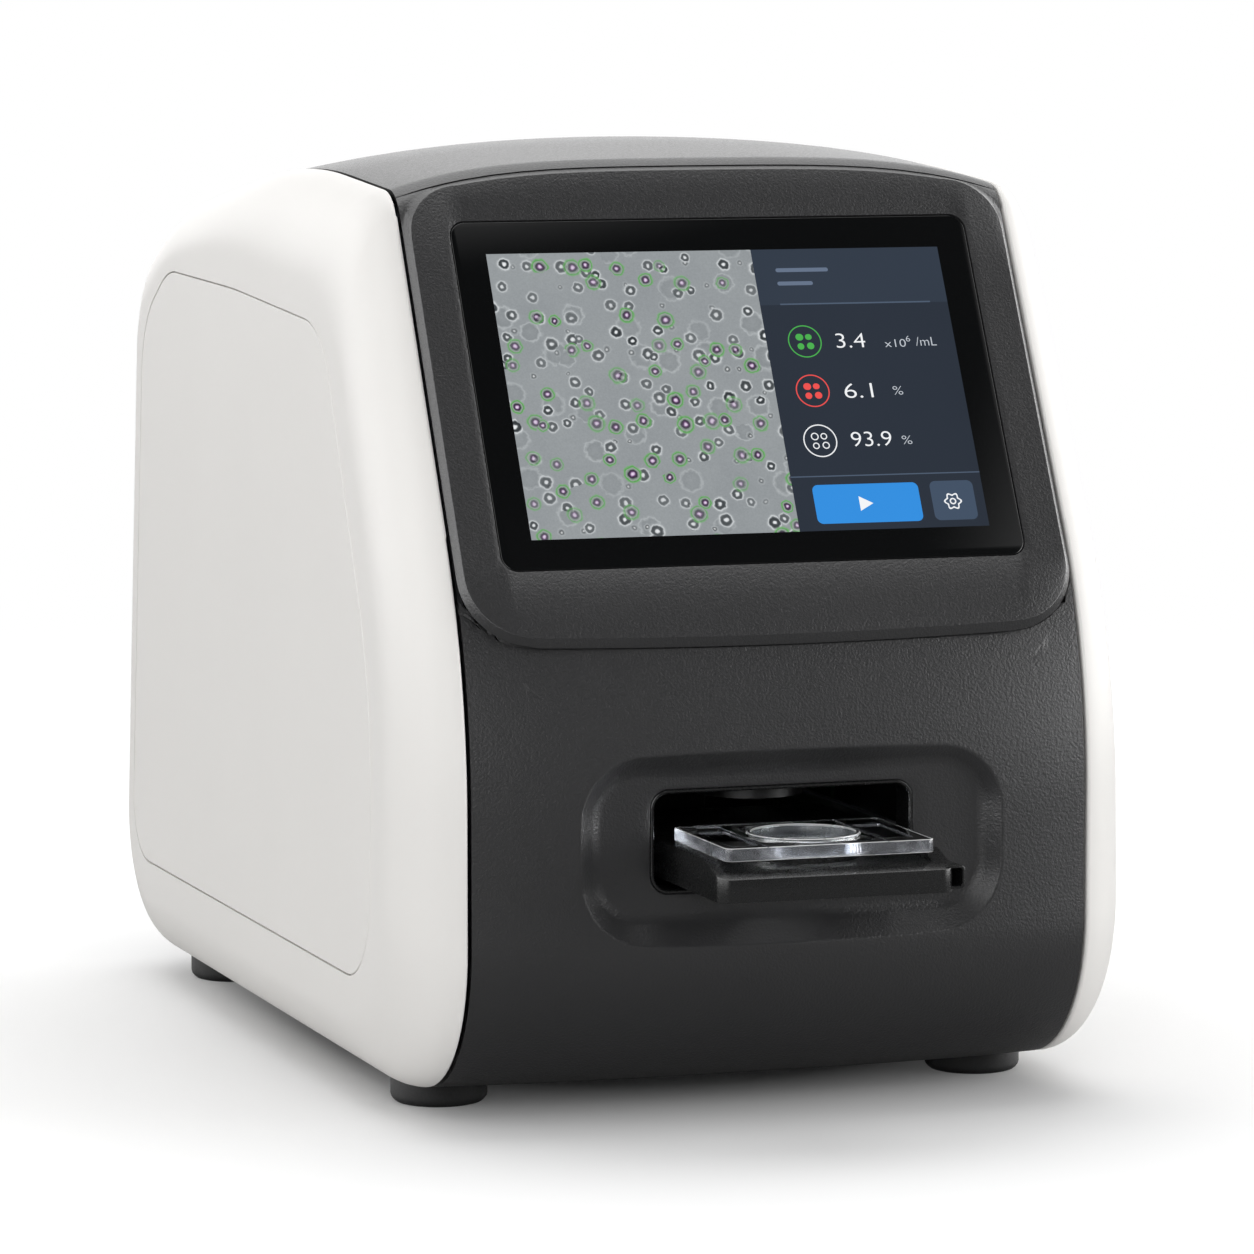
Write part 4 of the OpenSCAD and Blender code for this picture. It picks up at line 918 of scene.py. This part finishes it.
for figures in (("living_count", "3.4", WHITE_INK, 0.734, 0.799, 0.332, 5.6),
                ("dead_share", "6.1", WHITE_INK, 0.733, 0.796, 0.511, 5.6),
                ("living_share", "93.9", WHITE_INK, 0.729, 0.818, 0.683, 5.6),
                ("count_times_ten", "x10", GREY_INK, 0.842, 0.889, 0.345, 3.0),
                ("count_power", "6", GREY_INK, 0.891, 0.900, 0.330, 2.2),
                ("count_unit", "/mL", GREY_INK, 0.912, 0.958, 0.341, 3.4),
                ("dead_share_sign", "%", GREY_INK, 0.841, 0.863, 0.514, 3.3),
                ("living_share_sign", "%", GREY_INK, 0.841, 0.863, 0.690, 3.3)):
    screen_text(*figures)
triangle = loft("start_triangle", [[(-2.4, 2.8, z), (-2.4, -2.8, z), (2.7, 0, z)] for z in (0, 4 * INK_T)])
triangle.data.transform(on_screen(0.736, 0.909))
screen_piece(triangle, WHITE_INK)
screen_ring("settings_gear", WHITE_INK, 4, 0.929, 0.9105, lambda a: 3.0 + 0.42 * math.cos(6 * a), 0.62, 96)
screen_ring("settings_gear_hub", WHITE_INK, 4, 0.929, 0.9105, lambda a: 1.25, 0.5, 32)

# ---------------------------------------------------------------------------
# Sample tray and the lining of its slot
# Moulded black ABS. The tray has a sloped lip, two cheeks that carry the slide over a low basin, a round
# window for the light, and a small thumb hook on its right; its runners slide in steel rails.
# ---------------------------------------------------------------------------
# Fine-textured black ABS: a dull deep black whose edges catch a thin light
BLACK_ABS = grained("fine_texture_black_ABS", "#101111", "#151516", 0.28, 0.05, 0.5, 0.12)
TRAY_FRONT, TRAY_REAR, TRAY_HALF_W, TRAY_R = -234.5, -100.0, 42.8, 4.5
TRAY_Z, LEDGE_Z, BASIN_Z = 87.1, 100.2, 96.9
LIP_H, LIP_SLOPE_L = 8.0, 17.0
BASIN_HALF_W, BASIN_END, BASIN_R = 36.8, -175.0, 5
SLIDE_MID_Y = TRAY_FRONT + 35.3
WINDOW_D = 39


def prism(name, x0, x1, outline):
    """A solid with a side view of [y, z] points between x0 and x1."""
    return loft(name, [[(x, y, z) for y, z in outline] for x in (x0, x1)])


def break_edges(piece, width, segments=2, angle=40):
    """Rounds every edge sharper than the angle, by width in millimetres."""
    apply_modifier(piece, "BEVEL", width=width * MM, segments=segments, limit_method="ANGLE",
                   angle_limit=math.radians(angle), use_clamp_overlap=True)


tray = rounded_plate("sample_tray", 2 * TRAY_HALF_W, TRAY_REAR - TRAY_FRONT, TRAY_R, TRAY_Z, LEDGE_Z,
                     (0, (TRAY_FRONT + TRAY_REAR) / 2), corner_steps=10)
slope_top = TRAY_FRONT + LIP_SLOPE_L + 3
slope_rise = (LEDGE_Z - TRAY_Z - LIP_H) / LIP_SLOPE_L
cut_out(tray, prism("lip_slope", -60, 60, (
    (TRAY_FRONT - 5, TRAY_Z + LIP_H - 5 * slope_rise), (slope_top, LEDGE_Z + 3 * slope_rise),
    (slope_top, LEDGE_Z + 20), (TRAY_FRONT - 5, LEDGE_Z + 20))))
basin_l = BASIN_END - TRAY_FRONT + 12
cut_out(tray, rounded_plate("tray_basin", 2 * BASIN_HALF_W, basin_l, BASIN_R, BASIN_Z, LEDGE_Z + 10,
                            (0, BASIN_END - basin_l / 2)))
cut_out(tray, rounded_plate("light_window", WINDOW_D, WINDOW_D, WINDOW_D / 2 - 0.01, TRAY_Z - 5, LEDGE_Z + 5,
                            (0, SLIDE_MID_Y), corner_steps=18))
break_edges(tray, 0.55, 3, 25)
HOOK_X, HOOK_START, HOOK_L, HOOK_Z, HOOK_H, HOOK_WALL = 46.7, TRAY_FRONT + 1.2, 11.8, 88.0, 8.2, 1.0
HOOK_ROOT_X = TRAY_HALF_W - 4
POCKET_X0, POCKET_X1 = TRAY_HALF_W - 3, HOOK_X - HOOK_WALL
hook_place = front_place(HOOK_START + HOOK_L, HOOK_Z + HOOK_H / 2)
hook = rounded_plate("thumb_hook", HOOK_X - HOOK_ROOT_X, HOOK_H, 1.8, 0, HOOK_L,
                     ((HOOK_X + HOOK_ROOT_X) / 2, 0), hook_place)
cut_out(hook, rounded_plate("hook_pocket", POCKET_X1 - POCKET_X0, HOOK_H - 2 * HOOK_WALL, 1.0, 1, HOOK_L + 4,
                            ((POCKET_X0 + POCKET_X1) / 2, 0), hook_place))
break_edges(hook, 0.25)
RUNNER_START, RUNNER_Z, RUNNER_H, RUNNER_W, RUNNER_ROOT = -157.0, 90.0, 4.0, 3.7, 1
runners = [rounded_plate("tray_runner", RUNNER_W + RUNNER_ROOT, RUNNER_H, 0.6, 0, TRAY_REAR - RUNNER_START,
                         (side * (TRAY_HALF_W + (RUNNER_W - RUNNER_ROOT) / 2), 0),
                         front_place(TRAY_REAR, RUNNER_Z + RUNNER_H / 2)) for side in (-1, 1)]
finish_piece(joined(tray, hook, *runners), "tray", BLACK_ABS, ["slide_tray"], angle=40)

LINER_WALL, LINER_GAP, LINER_LIP = 1.4, 0.1, 0.15
liner_rings = []
for inset, y in ((LINER_GAP, SLOT_END_Y), (LINER_GAP, RECESS_FLOOR_Y + 0.05),
                 (0.35, RECESS_FLOOR_Y - LINER_LIP), (LINER_WALL - 0.5, RECESS_FLOOR_Y - LINER_LIP),
                 (LINER_WALL, RECESS_FLOOR_Y + 0.4), (LINER_WALL, SLOT_END_Y), (LINER_GAP, SLOT_END_Y)):
    outline = rounded_outline(SLOT_W - 2 * inset, SLOT_H - 2 * inset, SLOT_R - inset, SLOT_MID_Z)
    liner_rings.append([(x, y, z) for x, z in outline])
finish_piece(loft("slot_lining", liner_rings, caps=False), "housing", BLACK_ABS,
             ["slot_liner"])

# ---------------------------------------------------------------------------
# Chamber slide
# Moulded clear acrylic, the width of a standard slide, with a round chamber wall in the middle and
# engraved fields at both ends. It rests on the cheeks of the tray; its upright edges are frosted.
# ---------------------------------------------------------------------------
SLIDE_W, SLIDE_L, SLIDE_T, SLIDE_R = 76.0, 56.6, 4.6, 3.0
SLIDE_TOP = LEDGE_Z + SLIDE_T
RING_OUT, RING_IN, RING_RISE, RING_EDGE = 19.6, 18.0, 0.6, 0.3
FIELD_DEPTH, GROOVE_DEPTH, GROOVE_W = 0.5, 0.3, 0.5


def acrylic(name, tint, roughness, clear):
    """Clear or frosted acrylic with faint flow lines, about 11 mm wide, in its gloss."""
    material, tree, shader = new_material(name)
    flow = add(tree, "TexNoise", Vector=add(tree, "TexCoord").outputs["Object"], Scale=90.0, Detail=2.0)
    gloss = add(tree, "MapRange", Value=flow.outputs[0], **NOISE, in3=0.7 * roughness, in4=1.3 * roughness)
    tree.links.new(gloss.outputs[0], shader.inputs["Roughness"])
    shader.inputs["Base Color"].default_value = linear(tint)
    shader.inputs["IOR"].default_value = 1.49
    shader.inputs["Transmission Weight"].default_value = clear
    return material


# Clear acrylic: the tray shows through it, and its flat top carries a mirror-like sheen
CLEAR_ACRYLIC = acrylic("clear_cast_acrylic", "#F6FAFB", 0.02, 1.0)
# Frosted acrylic: the upright edges glow pale grey with the light that the slide gathers
FROSTED_ACRYLIC = acrylic("frosted_acrylic_edge", "#C6C9D1", 0.22, 0.9)
# Arris of the slide: a white painted highlight makes a thin bright line round every field and edge
ARRIS_PAINTED_HIGHLIGHT = acrylic("acrylic_arris_painted_highlight", "#FFFFFF", 0.25, 0.45)
slide = rounded_plate("chamber_slide", SLIDE_W, SLIDE_L, SLIDE_R, LEDGE_Z, SLIDE_TOP, (0, SLIDE_MID_Y))
cut_out(slide, rounded_plate("chamber_seat", 2 * RING_OUT, 2 * RING_OUT, RING_OUT - 0.01, LEDGE_Z - 2,
                             SLIDE_TOP + 2, (0, SLIDE_MID_Y), corner_steps=18))
break_edges(slide, 0.25)
for x, y, w, l in ((-29.5, -5.8, 9.8, 34.8), (-27.6, 23.2, 8, 6), (27.8, -4, 10.2, 33.5)):
    cut_out(slide, rounded_plate("engraved_field", w, l, 1.0, SLIDE_TOP - FIELD_DEPTH, SLIDE_TOP + 2,
                                 (x, SLIDE_MID_Y + y), corner_steps=4))
for x in (-23, 20.8):
    cut_out(slide, rounded_plate("dividing_groove", GROOVE_W, SLIDE_L + 4, 0, SLIDE_TOP - GROOVE_DEPTH,
                                 SLIDE_TOP + 2, (x, SLIDE_MID_Y)))


def turned(name, profile, x, y, count):
    """A closed profile of [radius, height] points turned about an upright axis."""
    turns = [2 * math.pi * i / count for i in range(count)]
    return loft(name, [[(x + r * math.cos(a), y + r * math.sin(a), z) for a in turns] for r, z in profile],
                caps=False)


ring_top = SLIDE_TOP + RING_RISE
chamber_wall = turned("chamber_wall", (
    (RING_OUT, LEDGE_Z), (RING_OUT, ring_top - RING_EDGE), (RING_OUT - RING_EDGE, ring_top),
    (RING_IN + RING_EDGE, ring_top), (RING_IN, ring_top - RING_EDGE), (RING_IN, LEDGE_Z),
    (RING_OUT, LEDGE_Z)), 0, SLIDE_MID_Y, 96)
CLEAR, FROSTED, BRIGHT = range(3)


def edge_lit(piece, upright):
    """Gives the upright faces their own surface and the arrises a white painted highlight; flat faces stay
    clear.
    """
    piece.data.materials.append(FROSTED_ACRYLIC)
    piece.data.materials.append(ARRIS_PAINTED_HIGHLIGHT)
    for face in piece.data.polygons:
        tilt = abs(face.normal.z)
        face.material_index = upright if tilt <= 0.15 else (BRIGHT if tilt < 0.97 else CLEAR)


finish_piece(slide, "tray", CLEAR_ACRYLIC, ["sample_slide"])
finish_piece(chamber_wall, "tray", CLEAR_ACRYLIC)
edge_lit(slide, FROSTED)
edge_lit(chamber_wall, CLEAR)

# ---------------------------------------------------------------------------
# Feet
# Turned from black rubber, with a rounded rim and a rolled contact edge. Each is held by one steel screw
# from below.
# ---------------------------------------------------------------------------
FOOT_X, FOOT_YS, FOOT_R = 102.0, (-101.5, 179.0), 17.3
SCREW_HOLE_R, FOOT_BORE_R, FOOT_BORE_TOP = 2.1, 7, 6
# Black nitrile rubber: matt, faintly dusty, with a soft mottled bloom
RUBBER = grained("black_nitrile_rubber", "#131313", "#1D1D1E", 0.72, 0.06, 0.8, 0.2)
FOOT_PROFILE = (
    (SCREW_HOLE_R, BASE_Z), (10, BASE_Z), (10, BASE_Z - 0.8), (FOOT_R - 0.8, BASE_Z - 0.8),
    (FOOT_R - 0.2, BASE_Z - 1.0), (FOOT_R, BASE_Z - 1.7), (FOOT_R, 3), (FOOT_R - 0.3, 1.9),
    (FOOT_R - 1, 1.0), (FOOT_R - 1.9, 0.3), (FOOT_R - 3, 0), (FOOT_BORE_R + 1, 0), (FOOT_BORE_R + 0.2, 0.3),
    (FOOT_BORE_R, 1), (FOOT_BORE_R, FOOT_BORE_TOP), (SCREW_HOLE_R, FOOT_BORE_TOP), (SCREW_HOLE_R, BASE_Z))
for end, y in zip(("front", "rear"), FOOT_YS):
    for side, x in (("left", -FOOT_X), ("right", FOOT_X)):
        finish_piece(turned("rubber_foot_%s_%s" % (end, side), FOOT_PROFILE, x, y, 72), "housing",
                     RUBBER, ["foot_%s_%s" % (end, side)], angle=40)

# ---------------------------------------------------------------------------
# Connector panel, its fittings and the fan
# A black moulded panel is screwed into the rear bay with the power inlet, the switch, two USB ports and
# the fan. Each keeps the CAD's shape and gets the small rounded edges of a moulding or a pressing.
# ---------------------------------------------------------------------------
# Bright turned steel: screw heads and port shells that flash against the black panel
BRIGHT_STEEL = grained("bright_turned_steel", "#B8BABD", "#C6C8CA", 0.24, 0.04, 0.3, 0.04, metallic=1.0,
                       mottle_mm=8.0)


def softened(node, name, slot, material, width, body="housing"):
    """A copy of a CAD part, sewn up, its edges rounded by width in millimetres."""
    piece = copied(nodes[node], name)
    take(piece)
    bpy.ops.object.mode_set(mode="EDIT")
    bpy.ops.mesh.select_all(action="SELECT")
    bpy.ops.mesh.remove_doubles(threshold=1e-6)
    bpy.ops.mesh.normals_make_consistent(inside=False)
    bpy.ops.mesh.dissolve_limited(angle_limit=math.radians(0.5))
    bpy.ops.object.mode_set(mode="OBJECT")
    break_edges(piece, width, angle=35)
    finish_piece(piece, body, material, [node], angle=35)
    apply_modifier(piece, "WEIGHTED_NORMAL", keep_sharp=True)


for fitting in (("connector_panel", "rear_connector_panel", "black_moulding", BLACK_ABS, 0.4),
                ("dc_jack", "power_inlet_jack", "black_moulding", BLACK_ABS, 0.25),
                ("usb_ports", "usb_port_shells", "bright_steel", BRIGHT_STEEL, 0.12),
                ("switch_housing", "power_switch_frame", "black_moulding", BLACK_ABS, 0.4),
                ("power_rocker", "power_rocker_key", "black_moulding", BLACK_ABS, 0.4, "rocker"),
                ("fan_frame", "cooling_fan_frame", "black_moulding", BLACK_ABS, 0.3),
                ("fan_rotor", "cooling_fan_rotor", "black_moulding", BLACK_ABS, 0.2, "fan"),
                ("panel_screws", "connector_panel_screws", "bright_steel", BRIGHT_STEEL, 0.2)):
    softened(*fitting)

# ---------------------------------------------------------------------------
# Frame, optics, drive and electronics
# Sheet-steel frames, cast carriers, acetal gears and two circuit boards stand on the base plate. They
# keep the CAD's shapes, and each takes the real surface of its slot in the record.
# ---------------------------------------------------------------------------
# Zinc-plated sheet: grey metal, spangled in patches of about a centimetre
SHEET_STEEL = grained("zinc_plated_sheet_steel", "#8C9094", "#A4A8AB", 0.36, 0.06, 1.2, 0.06, metallic=1.0,
                      mottle_mm=12.0)
# Bead-blasted aluminium castings: an even, dull silver
CAST_METAL = grained("bead_blasted_aluminium", "#8E9194", "#9FA2A5", 0.48, 0.05, 0.5, 0.2, metallic=1.0,
                     mottle_mm=20.0)
# Natural acetal: the cream, waxy plastic of small gears
GEAR_PLASTIC = grained("natural_acetal", "#D8D2C2", "#DED9CC", 0.42, 0.04, 0.6, 0.04)
# Solder mask over glass fibre: deep green with a faint weave
BOARD = grained("green_solder_mask", "#174A2E", "#1F5A38", 0.32, 0.05, 1.0, 0.1, coat=0.3, mottle_mm=6.0)
# Black anodising keeps stray light out of the optics around the slide
BLACK_ANODISED = grained("black_anodised_aluminium", "#0B0B0C", "#101011", 0.42, 0.05, 0.4, 0.1)
LOOKS = {"white_cover": WHITE_PAINT, "dark_cover": DARK_ABS, "black_moulding": BLACK_ABS,
         "cover_glass": BLACK_GLASS, "screen": SLATE, "clear_slide": CLEAR_ACRYLIC, "foot_rubber": RUBBER,
         "sheet_steel": SHEET_STEEL, "bright_steel": BRIGHT_STEEL, "cast_metal": CAST_METAL,
         "gear_plastic": GEAR_PLASTIC, "circuit_board": BOARD}
ANODISED_NODES = ("optics_column", "led_housing", "condenser_lens")
for part in frame["record"]["subparts"]:
    node = part["node"]
    for place in nodes[node].material_slots:
        place.material = BLACK_ANODISED if node in ANODISED_NODES else LOOKS[part["material_slot"]]

# ---------------------------------------------------------------------------
# Studio
# The instrument stands on a matt white table that runs into a white surround. Soft boxes light it from
# above, the right, the left and the front; the surround's bands are seen only as reflections.
# ---------------------------------------------------------------------------
WHITE = (1, 1, 1, 1)
SMOOTH = {"interpolation_type": "SMOOTHSTEP"}


def grey(level):
    return (level, level, level, 1)


def mirror_rays(tree):
    """The ray's kind, and whether a reflection or a clear part looks at the surface."""
    path = add(tree, "LightPath")
    return path, add(tree, "Math", {"operation": "MAXIMUM"}, in0=path.outputs["Is Glossy Ray"],
                     in1=path.outputs["Is Transmission Ray"]).outputs[0]


bpy.ops.object.select_all(action="DESELECT")
bpy.ops.mesh.primitive_circle_add(vertices=96, radius=40, fill_type="NGON", location=(0, 0, 0))
floor = bpy.context.object
floor.name = "white_table"
# Matt white laminate: soft lamp shadows near the feet, and a painted glow for the camera that is missing
# close to the instrument, as painted shade round it, and grows outwards; further out nothing but white
floor_material = bpy.data.materials.new("matt_white_laminate")
tree = emptied(floor_material)
place = add(tree, "TexCoord").outputs["Object"]
radius = add(tree, "VectorMath", {"operation": "LENGTH"}, in0=place).outputs["Value"]
far = add(tree, "MapRange", SMOOTH, Value=radius, in1=0.45, in2=1.6)
# Painted glow seen by the camera: none within 0.1 m of the middle, which paints shade round the instrument,
# rising to 0.42 at 0.45 m
painted_glow_level = add(tree, "MapRange", Value=radius, in1=0.1, in2=0.45, in4=0.42)
path, mirror = mirror_rays(tree)
matt = add(tree, "BsdfDiffuse", Color=grey(0.85))
painted_floor_glow = add(tree, "Emission", Color=WHITE, Strength=painted_glow_level.outputs[0])
floor_with_painted_glow = add(tree, "AddShader", in0=matt.outputs[0], in1=painted_floor_glow.outputs[0])
white = add(tree, "Emission", Color=WHITE)
seen = add(tree, "MixShader", in0=far.outputs[0], in1=floor_with_painted_glow.outputs[0], in2=white.outputs[0])
# Reflections and clear parts see the floor as dark grey instead of white: a painted dark reflection
dark = add(tree, "BsdfDiffuse", Color=grey(0.34))
reflected = add(tree, "MixShader", in0=mirror, in1=matt.outputs[0], in2=dark.outputs[0])
both = add(tree, "MixShader", in0=path.outputs["Is Camera Ray"], in1=reflected.outputs[0],
           in2=seen.outputs[0])
add(tree, "OutputMaterial", Surface=both.outputs[0])
floor.data.materials.append(floor_material)

world = bpy.data.worlds.new("studio")
bpy.context.scene.world = world
tree = emptied(world)
path, mirror = mirror_rays(tree)
axes = add(tree, "SeparateXYZ", Vector=add(tree, "TexCoord").outputs["Generated"])
# Bands of the surround: the axis, where on it the band starts and ends, and its glow there
rear, high, above, right, left = (
    add(tree, "MapRange", SMOOTH, Value=axes.outputs[axis], in1=start, in2=end, in3=first, in4=last)
    for axis, start, end, first, last in (
        ("Y", -0.3, 0.7, 0.14, 1.9), ("Z", 0.2, 0.7, 1.0, 0.3), ("Z", 0.86, 0.97, 0.0, 1.8),
        ("X", 0.52, 0.85, 0.0, 5.0), ("X", -0.65, -0.3, 3.2, 0.0)))
glow = add(tree, "Math", MULTIPLY, in0=rear.outputs[0], in1=high.outputs[0])
for band in (above, right, left):
    glow = add(tree, "Math", {"operation": "ADD"}, in0=glow.outputs[0], in1=band.outputs[0])
ambient = add(tree, "Background", Color=WHITE, Strength=0.45)
sheen = add(tree, "Background", Color=WHITE, Strength=glow.outputs[0])
bright = add(tree, "Background", Color=WHITE)
mixed = add(tree, "MixShader", in0=mirror, in1=ambient.outputs[0], in2=sheen.outputs[0])
mixed = add(tree, "MixShader", in0=path.outputs["Is Camera Ray"], in1=mixed.outputs[0],
            in2=bright.outputs[0])
add(tree, "OutputWorld", Surface=mixed.outputs[0])


def soft_box(name, place, target, size, watts):
    data = bpy.data.lights.new(name, "AREA")
    data.shape = "RECTANGLE"
    data.size, data.size_y = size
    data.energy = watts
    lamp = bpy.data.objects.new(name, data)
    bpy.context.scene.collection.objects.link(lamp)
    lamp.location = place
    lamp.rotation_euler = (Vector(target) - Vector(place)).to_track_quat("-Z", "Y").to_euler()


soft_box("overhead_soft_box", (0.1, 0.4, 1.5), (0, 0, 0.2), (1.6, 1.5), 13)
soft_box("right_soft_box", (1.6, -1.0, 0.55), (0, -0.1, 0.2), (1.2, 1.0), 11)
soft_box("left_strip_box", (-1.5, -0.4, 0.75), (0, -0.1, 0.2), (0.3, 1.3), 3.6)
soft_box("front_soft_box", (-0.9, -2.3, 0.8), (0, -0.1, 0.15), (1.0, 0.9), 11)

# The camera's focal length is 6200 of the frame's 1254 pixels
FRAME_PX, FOCAL_PX, SENSOR_MM = 1254, 6200, 36
AZIMUTH, ELEVATION, DISTANCE = math.radians(-18.578), math.radians(6.316), 2.1867
AIM = Vector((-0.03983, -0.1270, 0.17002))
camera_data = bpy.data.cameras.new("camera")
camera_data.sensor_width = SENSOR_MM
camera_data.lens = FOCAL_PX / FRAME_PX * SENSOR_MM
camera = bpy.data.objects.new("camera", camera_data)
bpy.context.scene.collection.objects.link(camera)
back = Vector((math.sin(AZIMUTH) * math.cos(ELEVATION), -math.cos(AZIMUTH) * math.cos(ELEVATION),
               math.sin(ELEVATION)))
camera.location = AIM + back * DISTANCE
camera.rotation_euler = (-back).to_track_quat("-Z", "Y").to_euler()
bpy.context.scene.camera = camera
bpy.context.scene.view_settings.view_transform = "Standard"
